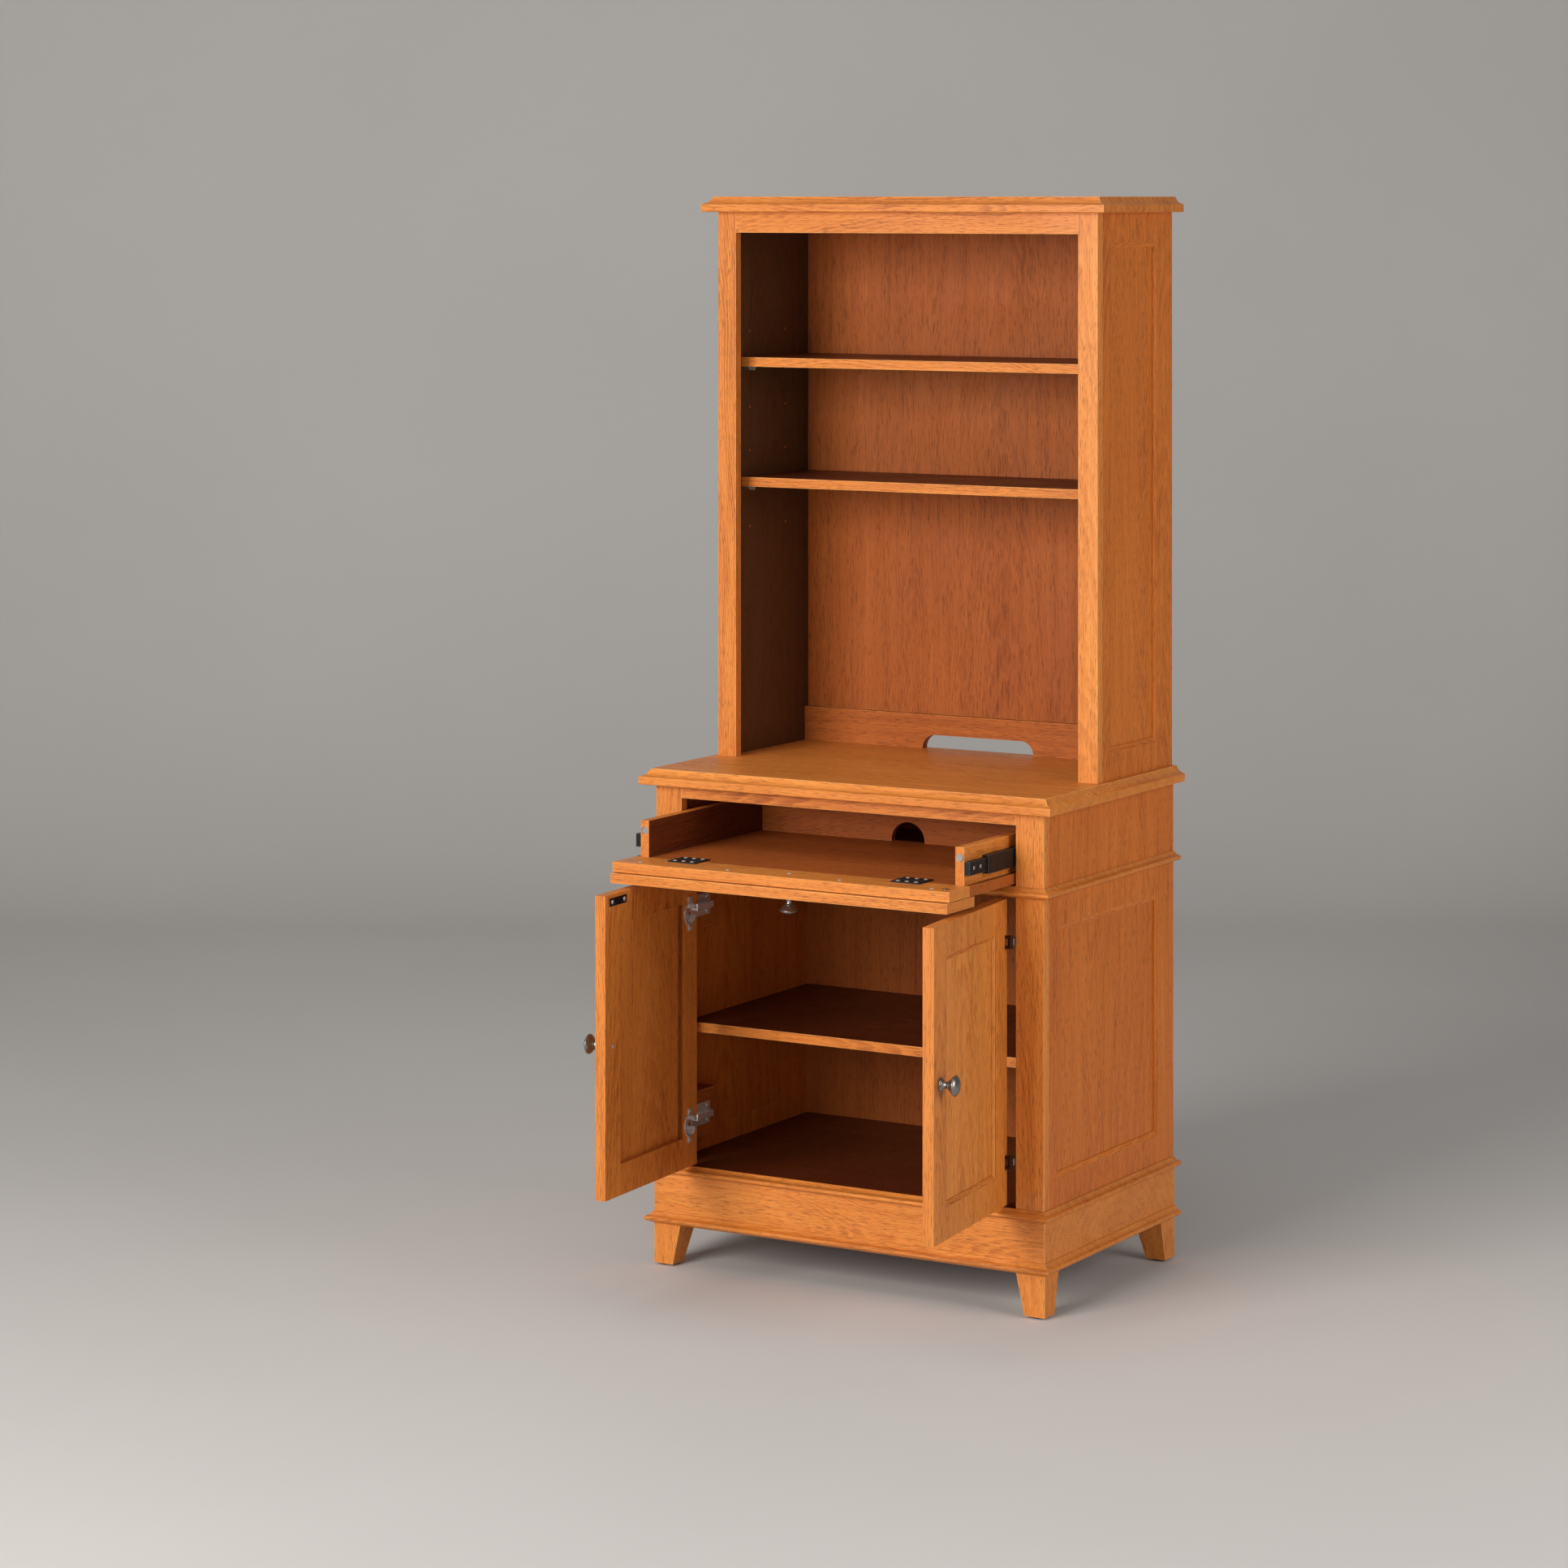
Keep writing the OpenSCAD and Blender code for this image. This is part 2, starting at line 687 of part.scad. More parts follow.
// The door side of each hinge: a cup with a flange on the wood, two lugs and the pin
module hinge_cups() {
    span = arm_h/2 + lug_gap;
    wall = 1.2;
    for (z = hinge_zs) translate([0, 0, z]) {
        difference() {
            union() {
                translate([cup_x, door_t - cup_depth, 0]) rotate([-90, 0, 0])
                    cylinder(r=cup_r, h=cup_depth + plate_t);
                block([cup_x - cup_plate_w/2, door_t, -cup_plate_h/2],
                    [cup_x + cup_plate_w/2, door_t + plate_t, cup_plate_h/2]);
            }
            translate([cup_x, door_t - cup_depth + wall, 0]) rotate([-90, 0, 0])
                cylinder(r=cup_r - wall, h=cup_depth + plate_t);
            for (side = [-1, 1]) translate([cup_x, door_t - 1, side*(cup_plate_h/2 - 4.2)])
                rotate([-90, 0, 0]) cylinder(r=2, h=plate_t + 2);
            block([notch_x - 2, door_t - cup_depth, -span], [door_x1, door_t + plate_t + 1, span]);
        }
        for (side = [0, 1]) mirror([0, 0, side]) {
            translate([pivot_x, -pivot_out, span]) cylinder(r=eye_r, h=lug_h);
            block([pivot_x - eye_r, -pivot_out, span], [pivot_x, door_t + plate_t, span + lug_h]);
            block([cup_x + cup_r - 5, door_t, span], [pivot_x, door_t + plate_t, span + lug_h]);
        }
        translate([pivot_x, -pivot_out, -span - lug_h]) cylinder(r=pin_r, h=2*(span + lug_h));
    }
}

// The plate on a door that the magnetic catch holds
strike_w = 50;
strike_h = 12;
strike_x = door_x0 + 12;
strike_z = door_z1 - 5;
module strike() {
    difference() {
        block([strike_x, door_t, strike_z - strike_h], [strike_x + strike_w, door_t + 1.5, strike_z]);
        for (x = [7, strike_w - 7]) translate([strike_x + x, door_t - 1, strike_z - strike_h/2])
            rotate([-90, 0, 0]) cylinder(r=1.8, h=4);
    }
}

module door_frame_left() {
    color(oak) in_left_door() door_frame();
}

module door_panel_left() {
    color(oak) in_left_door() door_panel_solid();
}

module door_knob_left() {
    color(pewter) in_left_door() door_knob();
}

module hinge_cups_left() {
    color(nickel) in_left_door() hinge_cups();
}

module strike_left() {
    color(black_metal) in_left_door() strike();
}

module door_frame_right() {
    color(oak) in_right_door() door_frame();
}

module door_panel_right() {
    color(oak) in_right_door() door_panel_solid();
}

module door_knob_right() {
    color(pewter) in_right_door() door_knob();
}

module hinge_cups_right() {
    color(nickel) in_right_door() hinge_cups();
}

module strike_right() {
    color(black_metal) in_right_door() strike();
}

// ---- Fixed hardware of the base ----

wall_x = open_half;
wall_plate_y = door_t + plate_t + 8;

module hinge_blocks() {
    color(oak_dark) placed() both_sides() for (z = hinge_zs)
        block([wall_x, board_t, z - hinge_block_h/2],
            [half_w - board_t, board_t + hinge_block_d, z + hinge_block_h/2]);
}

// The cabinet side of each hinge: a plate on its block, an arm and an eye round the pin
module hinge_arms() {
    color(nickel) placed() both_sides() for (z = hinge_zs) translate([0, 0, z]) {
        difference() {
            union() {
                translate([pivot_x, -pivot_out, -arm_h/2]) cylinder(r=eye_r, h=arm_h);
                block([pivot_x - neck_t/2, -pivot_out, -arm_h/2],
                    [pivot_x + neck_t/2, wall_plate_y + 8, arm_h/2]);
            }
            translate([pivot_x, -pivot_out, -arm_h]) cylinder(r=pin_r + pin_clear, h=2*arm_h);
        }
        block([wall_x - arm_rise, wall_plate_y, -arm_h/2],
            [wall_x, wall_plate_y + wall_plate_l - 8, arm_h/2]);
        block([wall_x - plate_t, wall_plate_y, -wall_plate_h/2],
            [wall_x, wall_plate_y + wall_plate_l, wall_plate_h/2]);
    }
}

// The magnetic catches under the divider, one behind each door's strike
module door_catches() {
    catch_h = 13;
    color(black_metal) placed() both_sides()
        block([strike_x + 2, door_t + 2.5, waist_z1 - board_t - catch_h],
            [strike_x + strike_w - 2, door_t + 20, waist_z1 - board_t]);
}

// The boards that bring the slides out to the edge of the opening
module runner_spacers() {
    color(oak_dark) placed() both_sides()
        block([wall_x, board_t, slide_z - 21], [half_w - board_t, base_d - back_t, slide_z + 21]);
}

// ---- Keyboard drawer, drawn pulled out with its front dropped ----

module tray() {
    color(oak_dark) placed() difference() {
        block([-tray_half, hinge_y, hinge_z - tray_t], [tray_half, hinge_y + tray_d, hinge_z]);
        flap_hinge_grooves();
    }
}

// The half-round grooves that the flap hinges' barrels lie in
module flap_hinge_grooves() {
    both_sides() translate([flap_hinge_x - flap_hinge_w/2 - 1, hinge_y, hinge_z])
        rotate([0, 90, 0]) cylinder(r=barrel_r + 0.5, h=flap_hinge_w + 2);
}

// A side of the drawer, bored in its front end for a magnet
module drawer_side() {
    difference() {
        block([drawer_half - drawer_side_t, hinge_y + hinge_gap, hinge_z],
            [drawer_half, hinge_y + tray_d, hinge_z + drawer_side_h]);
        translate([drawer_half - drawer_side_t/2, hinge_y, hinge_z + magnet_z])
            rotate([-90, 0, 0]) cylinder(r=magnet_r, h=hinge_gap + magnet_l);
    }
}

magnet_l = 6;

module drawer_side_left() {
    color(oak_dark) placed() on_left() drawer_side();
}

module drawer_side_right() {
    color(oak_dark) placed() drawer_side();
}

// The drawer back, with a half-round cable hole that opens onto the tray
module drawer_back() {
    half = drawer_half - drawer_side_t;
    color(oak_dark) placed() difference() {
        block([-half, hinge_y + tray_d - drawer_side_t + 3, hinge_z],
            [half, hinge_y + tray_d, hinge_z + drawer_back_h]);
        translate([0, hinge_y + tray_d + 1, hinge_z + 2]) rotate([90, 0, 0])
            cylinder(r=cable_r, h=drawer_side_t + 2, $fn=64);
    }
}

module drawer_magnets() {
    color(nickel) placed() both_sides()
        translate([drawer_half - drawer_side_t/2, hinge_y + hinge_gap, hinge_z + magnet_z])
            rotate([-90, 0, 0]) cylinder(r=magnet_r, h=magnet_l);
}

// The tray side of each flap hinge: a leaf, two outer barrels and the pin
module flap_hinge_bases() {
    third = flap_hinge_w/3;
    color(black_metal) placed() both_sides() translate([flap_hinge_x, hinge_y, hinge_z]) {
        for (side = [-1, 1]) difference() {
            union() {
                translate([side*third - third/2, 0, 0]) rotate([0, 90, 0])
                    cylinder(r=barrel_r, h=third - lug_gap);
                block([side*third - third/2, 0, 0],
                    [side*third + third/2 - lug_gap, barrel_r + 3, flap_leaf_t]);
            }
            translate([-flap_hinge_w, 0, 0]) rotate([0, 90, 0]) cylinder(r=flap_pin_r, h=2*flap_hinge_w);
        }
        translate([-flap_hinge_w/2, 0, 0]) rotate([0, 90, 0]) cylinder(r=flap_pin_r, h=flap_hinge_w);
        block([-flap_hinge_w/2, barrel_r + 1, 0], [flap_hinge_w/2 - lug_gap, flap_leaf_d, flap_leaf_t]);
    }
}

// The flap side of each flap hinge: a leaf and the middle barrel
module flap_hinge_leaves() {
    third = flap_hinge_w/3;
    color(black_metal) placed() both_sides() translate([flap_hinge_x, hinge_y, hinge_z]) {
        difference() {
            union() {
                translate([lug_gap - third/2, 0, 0]) rotate([0, 90, 0])
                    cylinder(r=barrel_r, h=third - 3*lug_gap);
                block([lug_gap - third/2, -barrel_r - 3, 0], [third/2 - 2*lug_gap, 0, flap_leaf_t]);
            }
            translate([-flap_hinge_w, 0, 0]) rotate([0, 90, 0])
                cylinder(r=flap_pin_r + pin_clear, h=2*flap_hinge_w);
        }
        block([-flap_hinge_w/2, -flap_leaf_d, 0], [flap_hinge_w/2, -barrel_r - 1, flap_leaf_t]);
    }
}

// The inner board of the drop front, level with the tray
module flap() {
    color(oak_dark) placed() difference() {
        block([-tray_half, hinge_y - flap_h, hinge_z - tray_t],
            [tray_half, hinge_y - hinge_gap, hinge_z]);
        flap_hinge_grooves();
    }
}

// The outer board of the drop front, whose lip stops under the tray
module drop_front() {
    color(oak) placed() block([-tray_half, hinge_y - front_top, hinge_z - 2*tray_t - seam],
        [tray_half, hinge_y + lip_h, hinge_z - tray_t - seam]);
}

front_screw_xs = [95, 247];

// What the drop front carries: spacers in the seam, screw heads, strikes and the knob
module front_hardware() {
    head_h = 1;
    color(pewter) placed() {
        translate([0, hinge_y - drawer_knob_z, hinge_z - 2*tray_t - seam]) rotate([180, 0, 0]) knob();
        translate([0, hinge_y - drawer_knob_z, hinge_z]) cylinder(r=screw_head_r, h=head_h);
        both_sides() {
            for (x = front_screw_xs) {
                translate([x, hinge_y - screw_line, hinge_z]) cylinder(r=screw_head_r, h=head_h);
                translate([x, hinge_y - screw_line, hinge_z - tray_t - seam])
                    cylinder(r=screw_head_r, h=seam);
            }
            translate([drawer_half - drawer_side_t/2, hinge_y - magnet_z, hinge_z])
                cylinder(r=magnet_r, h=hinge_gap - 0.2);
        }
    }
}

// ---- Slides: three nested members on each side ----

// A channel open towards the middle of the desk, its back at x
module channel(x, w, h, y0, l) {
    difference() {
        block([x - w, y0, slide_z - h/2], [x, y0 + l, slide_z + h/2]);
        block([x - w - 1, y0 - 1, slide_z - h/2 + slide_wall],
            [x - slide_wall, y0 + l + 1, slide_z + h/2 - slide_wall]);
    }
}

channel_w = slide_t - 2;
nest_x = slide_wall + slide_gap;
nest_h = 2*(slide_wall + ball_gap);

module slide_cabinet_members() {
    color(black_metal) placed() both_sides() channel(wall_x, channel_w, slide_h, slide_y, slide_l);
}

module slide_middle_members() {
    color(black_metal) placed() both_sides()
        channel(wall_x - nest_x, channel_w - nest_x, slide_h - nest_h,
            slide_y - middle_travel, slide_l);
}

module slide_drawer_members() {
    h = slide_h - 2*nest_h;
    color(black_metal) placed() both_sides()
        block([drawer_half, slide_y - drawer_travel, slide_z - h/2],
            [wall_x - 2*nest_x, slide_y + slide_l - drawer_travel, slide_z + h/2]);
}

desktop();
base_stile_left();
base_stile_right();
base_top_rail();
waist_rail();
side_frame_left();
side_frame_right();
side_panels();
cabinet_floor();
drawer_divider();
base_back();
plinth_boards();
waist_mouldings();
plinth_cap_mouldings();
base_mouldings();
foot_front_left();
foot_front_right();
foot_back_left();
foot_back_right();
foot_glides();
inner_shelf();
base_shelf_pins();
hinge_blocks();
runner_spacers();
hinge_arms();
door_catches();
crown();
hutch_stiles();
hutch_top_rail();
hutch_side_left();
hutch_side_right();
hutch_side_panels();
hutch_back();
hutch_back_rail();
upper_shelf();
lower_shelf();
hutch_shelf_pins();
door_frame_left();
door_panel_left();
door_knob_left();
hinge_cups_left();
strike_left();
door_frame_right();
door_panel_right();
door_knob_right();
hinge_cups_right();
strike_right();
tray();
drawer_side_left();
drawer_side_right();
drawer_back();
drawer_magnets();
flap_hinge_bases();
flap();
drop_front();
flap_hinge_leaves();
front_hardware();
slide_cabinet_members();
slide_middle_members();
slide_drawer_members();
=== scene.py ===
"""Honey-oak computer desk with a hutch, a two-door cabinet and a drop-front keyboard drawer.

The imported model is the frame. Each wooden node is copied, split into its boards, given
eased edges and a grain direction for every board, and put back on its own body.
"""
import json
import logging
import math
import random
from dataclasses import dataclass, field
from enum import Enum
from typing import Callable, Iterable, Optional, Sequence

import bmesh
import bpy
from mathutils import Matrix, Vector


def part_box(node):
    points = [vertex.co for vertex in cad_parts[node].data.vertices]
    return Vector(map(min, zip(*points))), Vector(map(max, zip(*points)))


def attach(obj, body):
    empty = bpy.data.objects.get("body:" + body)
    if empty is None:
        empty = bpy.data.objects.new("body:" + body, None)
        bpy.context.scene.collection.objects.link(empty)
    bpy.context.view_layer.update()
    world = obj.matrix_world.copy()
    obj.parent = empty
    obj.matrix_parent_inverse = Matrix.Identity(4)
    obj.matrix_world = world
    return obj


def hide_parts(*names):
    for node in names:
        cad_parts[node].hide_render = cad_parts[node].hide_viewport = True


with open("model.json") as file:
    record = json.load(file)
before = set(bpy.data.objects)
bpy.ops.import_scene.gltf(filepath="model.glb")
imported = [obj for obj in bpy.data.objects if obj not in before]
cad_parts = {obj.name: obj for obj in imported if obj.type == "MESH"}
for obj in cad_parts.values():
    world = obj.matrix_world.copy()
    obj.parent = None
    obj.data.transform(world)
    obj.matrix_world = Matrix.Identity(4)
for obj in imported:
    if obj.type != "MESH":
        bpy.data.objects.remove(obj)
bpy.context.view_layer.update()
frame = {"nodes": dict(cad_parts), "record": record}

log = logging.getLogger("desk")
BMesh = bmesh.types.BMesh
Face = bmesh.types.BMFace
Socket = bpy.types.NodeSocket
FaceTest = Callable[[Face], bool]
Rgb = tuple[int, int, int]

MM = 0.001
SEED = 7421
SIDE_REBATE = 8 * MM
DOOR_REBATE = 5 * MM
# Angles: edges that are eased, edges shaded sharp on pieces and on screws, plates' corners
SHARP = math.radians(32)
CREASE = math.radians(40)
SCREW_CREASE = math.radians(30)
SQUARE = 1.2
# How far a normal has to turn inwards or forwards, and an edge upwards, to count
FACING_INWARD = 0.02
FACING_FRONT = 0.5
UPRIGHT_SHARE = 0.95
WHITE = (1.0, 0.98, 0.96)


class Grain(Enum):
    """Which way the grain of a board runs."""

    ACROSS = 0
    DEPTH = 1
    UPRIGHT = 2
    LONGEST = 3
    FACING = 4


class Side(Enum):
    """A side of the desk, with the sign of its X."""

    LEFT = -1
    RIGHT = 1


# ---- Node helpers ----


class Tree:
    """A thin wrapper that adds and links nodes in one node tree."""

    def __init__(self, tree: bpy.types.NodeTree) -> None:
        """Keeps the tree."""
        self.tree = tree
        self.at = 0

    def add(self, kind: str, inputs: Optional[dict[int | str, object]] = None,
            **values: object) -> bpy.types.Node:
        """Adds a node, sets its properties and fills its inputs.

        Args:
            kind: The node's type, without the ShaderNode prefix unless it has its own.
            inputs: Sockets or plain values by input name or number.
            **values: Properties by name.

        Returns:
            The new node.
        """
        name = kind if kind.startswith(("Geometry", "Node", "Function")) else "ShaderNode" + kind
        node = self.tree.nodes.new(name)
        self.at += 1
        node.location = (220 * (self.at // 4), -220 * (self.at % 4))
        for key, value in values.items():
            setattr(node, key, value)
        self.fill(node, inputs or {})
        return node

    def link(self, out: Socket, into: Socket) -> None:
        """Links an output to an input."""
        self.tree.links.new(out, into)

    def fill(self, node: bpy.types.Node, inputs: dict[int | str, object]) -> None:
        """Links sockets, or sets plain values, on a node's inputs.

        Args:
            node: The node.
            inputs: Sockets or plain values by input name or number.
        """
        for key, term in inputs.items():
            if isinstance(term, Socket):
                self.link(term, node.inputs[key])
            else:
                node.inputs[key].default_value = term

    def math(self, operation: str, *terms: object, clamp: bool = False) -> Socket:
        """Adds a Math node of sockets or numbers and returns its result."""
        node = self.add("Math", dict(enumerate(terms)), operation=operation, use_clamp=clamp)
        return node.outputs[0]

    def weighted(self, start: float, *parts: tuple[Socket, float], clamp: bool = False) -> Socket:
        """Adds sockets to a number, each by its weight.

        Args:
            start: The number.
            *parts: Sockets with their weights.
            clamp: Whether the sum is held between 0 and 1.

        Returns:
            The sum's socket.
        """
        total: object = start
        for i, (value, weight) in enumerate(parts, 1):
            last = clamp and i == len(parts)
            total = self.math("MULTIPLY_ADD", value, weight, total, clamp=last)
        return total

    def ramp(self, value: Socket, low: float, high: float, out_low: float = 0.0,
             out_high: float = 1.0) -> Socket:
        """Maps a value smoothly from low and high to two results, and clamps it."""
        return self.add("MapRange", {"Value": value, "From Min": low, "From Max": high,
                                     "To Min": out_low, "To Max": out_high},
                        interpolation_type="SMOOTHSTEP").outputs[0]

    def mix(self, blend: str, factor: object, a: object, b: object) -> Socket:
        """Mixes two colours, each a socket or a tuple, by a blend type and a factor."""
        return self.add("Mix", {0: factor, 6: a, 7: b}, data_type="RGBA",
                        blend_type=blend).outputs[2]

    def scaled(self, vector: Socket, scale: Sequence[float]) -> Socket:
        """Scales a vector by three numbers through a Mapping node."""
        return self.add("Mapping", {"Vector": vector, "Scale": scale}).outputs[0]

    def noise(self, vector: Socket, scale: float, detail: float = 2.0, rough: float = 0.5,
              twist: float = 0.0) -> Socket:
        """Adds a noise texture with its octaves, their strength and its distortion."""
        return self.add("TexNoise", {"Vector": vector, "Scale": scale, "Detail": detail,
                                     "Roughness": rough, "Distortion": twist}).outputs[0]

    def layer(self, name: str) -> Socket:
        """Reads a layer of single numbers from the mesh."""
        return self.add("Attribute", attribute_name=name).outputs["Fac"]

    def group(self, name: str, inputs: dict[int | str, object]) -> Sequence[Socket]:
        """Places a shared group, and returns its outputs."""
        return self.add("Group", inputs, node_tree=Groups.get(name)).outputs

    def bumped(self, height: Socket, strength: float, distance: float) -> Socket:
        """Turns a height into a normal."""
        return self.add("Bump", {"Height": height, "Strength": strength,
                                 "Distance": distance}).outputs[0]


def new_group(name: str, ins: dict[str, tuple[str, float]], outs: dict[str, str]) -> tuple[
        Tree, bpy.types.Node, bpy.types.Node]:
    """Starts a shader node group with named sockets.

    Args:
        name: The group's name.
        ins: Input names with their short type and default.
        outs: Output names with their short type.

    Returns:
        The tree wrapper, the input node and the output node.
    """
    group = bpy.data.node_groups.new(name, "ShaderNodeTree")
    for key, (kind, default) in ins.items():
        socket = group.interface.new_socket(name=key, in_out="INPUT",
                                            socket_type="NodeSocket" + kind)
        if kind == "Float":
            socket.default_value = default
    for key, kind in outs.items():
        group.interface.new_socket(name=key, in_out="OUTPUT", socket_type="NodeSocket" + kind)
    tree = Tree(group)
    return tree, tree.add("NodeGroupInput"), tree.add("NodeGroupOutput")


def oak_figure() -> bpy.types.NodeTree:
    """Builds the oak figure: growth bands, fine streaks and short open pores.

    Returns:
        The group, with Bands, Streaks, Pores and Clouds outputs.
    """
    tree, given, out = new_group(
        "oak_figure",
        {"Grain At": ("Vector", 0.0), "Pore Amount": ("Float", 0.5), "Band Width": ("Float", 1.0)},
        {"Bands": "Float", "Streaks": "Float", "Pores": "Float", "Clouds": "Float"})
    at = given.outputs["Grain At"]
    # Growth bands: cones about a slanted heart, so that flat-sawn arches show now and then
    sway = tree.noise(tree.scaled(at, (3.0, 3.0, 1.3)), 1.0, 2.0, 0.5)
    parts = tree.add("SeparateXYZ", {0: at})
    drift = tree.math("MULTIPLY", tree.math("SUBTRACT", sway, 0.5), 0.16)
    x = tree.math("ADD", parts.outputs[0], drift)
    y = tree.math("ADD", parts.outputs[1], tree.math("MULTIPLY", parts.outputs[2], 0.05))
    round_heart = tree.math("SQRT", tree.math("ADD", tree.math("MULTIPLY", x, x),
                                              tree.math("MULTIPLY", y, y)))
    ripple = tree.noise(tree.scaled(at, (130.0, 130.0, 9.0)), 1.0, 3.0, 0.6)
    radius = tree.math("ADD", round_heart, tree.math("MULTIPLY", ripple, 0.0035))
    turns = tree.math("DIVIDE", tree.math("MULTIPLY", radius, 330.0), given.outputs["Band Width"])
    saw = tree.math("FRACT", turns)
    rise = tree.ramp(saw, 0.0, 0.72)
    fall = tree.ramp(saw, 0.86, 1.0, 1.0, 0.0)
    slow = tree.math("SINE", tree.math("MULTIPLY", turns, 1.1))
    swell = tree.math("MULTIPLY_ADD", slow, 0.5, 0.5)
    tree.link(tree.math("MULTIPLY", tree.math("MULTIPLY", rise, fall),
                        tree.math("MULTIPLY_ADD", swell, 0.6, 0.4)), out.inputs["Bands"])
    # Streaks: soft lines that run with the grain
    fine = tree.noise(tree.scaled(at, (520.0, 520.0, 9.0)), 1.0, 3.0, 0.62, 0.1)
    wide = tree.noise(tree.scaled(at, (95.0, 95.0, 2.2)), 1.0, 3.0, 0.6, 0.15)
    both = tree.weighted(0.0, (fine, 0.55), (wide, 0.45))
    tree.link(tree.ramp(both, 0.34, 0.68), out.inputs["Streaks"])
    # Pores: short dark dashes, thicker in some bands than in others
    dash = tree.noise(tree.scaled(at, (820.0, 820.0, 62.0)), 1.0, 1.0, 0.5)
    crowd = tree.noise(tree.scaled(at, (34.0, 34.0, 3.0)), 1.0, 2.0, 0.5)
    edge = tree.math("SUBTRACT", 0.70, tree.math("MULTIPLY", crowd, 0.24))
    open_pore = tree.math("MULTIPLY", tree.math("SUBTRACT", dash, edge), 14.0, clamp=True)
    tree.link(tree.math("MULTIPLY", open_pore, given.outputs["Pore Amount"], clamp=True),
              out.inputs["Pores"])
    cloud = tree.noise(tree.scaled(at, (7.0, 7.0, 2.0)), 1.0, 3.0, 0.55, 0.4)
    tree.link(tree.ramp(cloud, 0.3, 0.7), out.inputs["Clouds"])
    return tree.tree


def surface_wear() -> bpy.types.NodeTree:
    """Builds the wear that every finish shares: rubbed arrises, dust and fine smears.

    Returns:
        The group, with Rubbed, Dust and Smear outputs.
    """
    tree, given, out = new_group(
        "surface_wear",
        {"Position": ("Vector", 0.0), "Arris": ("Float", 0.0), "Scale": ("Float", 1.0)},
        {"Rubbed": "Float", "Dust": "Float", "Smear": "Float"})
    spot = tree.add("VectorMath", {0: given.outputs["Position"], "Scale": given.outputs["Scale"]},
                    operation="SCALE").outputs[0]
    patchy = tree.ramp(tree.noise(spot, 38.0, 4.0, 0.65), 0.36, 0.62, 0.35, 1.0)
    tree.link(tree.math("MULTIPLY", given.outputs["Arris"], patchy, clamp=True),
              out.inputs["Rubbed"])
    up = tree.add("SeparateXYZ", {0: tree.add("NewGeometry").outputs["Normal"]})
    flat = tree.ramp(up.outputs[2], 0.55, 0.98)
    settle = tree.ramp(tree.noise(spot, 90.0, 5.0, 0.7), 0.42, 0.75)
    tree.link(tree.math("MULTIPLY", flat, settle), out.inputs["Dust"])
    tree.link(tree.ramp(tree.noise(spot, 9.0, 4.0, 0.6, 0.8), 0.35, 0.7), out.inputs["Smear"])
    return tree.tree


def brushed_lines() -> bpy.types.NodeTree:
    """Builds the fine scratches and cloudiness of plated or painted metal.

    Returns:
        The group, with Lines and Cloud outputs.
    """
    tree, given, out = new_group("brushed_lines", {"Position": ("Vector", 0.0)},
                                 {"Lines": "Float", "Cloud": "Float"})
    lines = tree.noise(tree.scaled(given.outputs[0], (90.0, 90.0, 2600.0)), 1.0, 3.0, 0.6)
    tree.link(tree.ramp(lines, 0.3, 0.7), out.inputs["Lines"])
    cloud = tree.noise(given.outputs[0], 160.0, 4.0, 0.6)
    tree.link(tree.ramp(cloud, 0.3, 0.7), out.inputs["Cloud"])
    return tree.tree


class Groups:
    """The shared node groups, each built once."""

    _made: dict[str, bpy.types.NodeTree] = {}
    _makers: dict[str, Callable[[], bpy.types.NodeTree]] = {
        "oak_figure": oak_figure, "surface_wear": surface_wear, "brushed_lines": brushed_lines}

    @classmethod
    def get(cls, name: str) -> bpy.types.NodeTree:
        """Finds a group, and builds it the first time.

        Args:
            name: The group's name.

        Returns:
            The group.
        """
        if name not in cls._made:
            cls._made[name] = cls._makers[name]()
        return cls._made[name]


# ---- Finishes ----


def linear(*rgb: int) -> tuple[float, float, float, float]:
    """Turns an 8-bit sRGB colour into linear RGBA."""
    return tuple(((c / 255 + 0.055) / 1.055) ** 2.4 if c > 10 else c / 255 / 12.92
                 for c in rgb) + (1.0,)


def start_material(name: str) -> tuple[bpy.types.Material, Tree, bpy.types.Node]:
    """Starts a material with one Principled BSDF.

    Args:
        name: The material's name.

    Returns:
        The material, its tree wrapper and the shader node.
    """
    material = bpy.data.materials.new(name)
    material.use_nodes = True
    material.node_tree.nodes.clear()
    tree = Tree(material.node_tree)
    shader = tree.add("BsdfPrincipled")
    tree.add("OutputMaterial", {0: shader.outputs[0]})
    return material, tree, shader


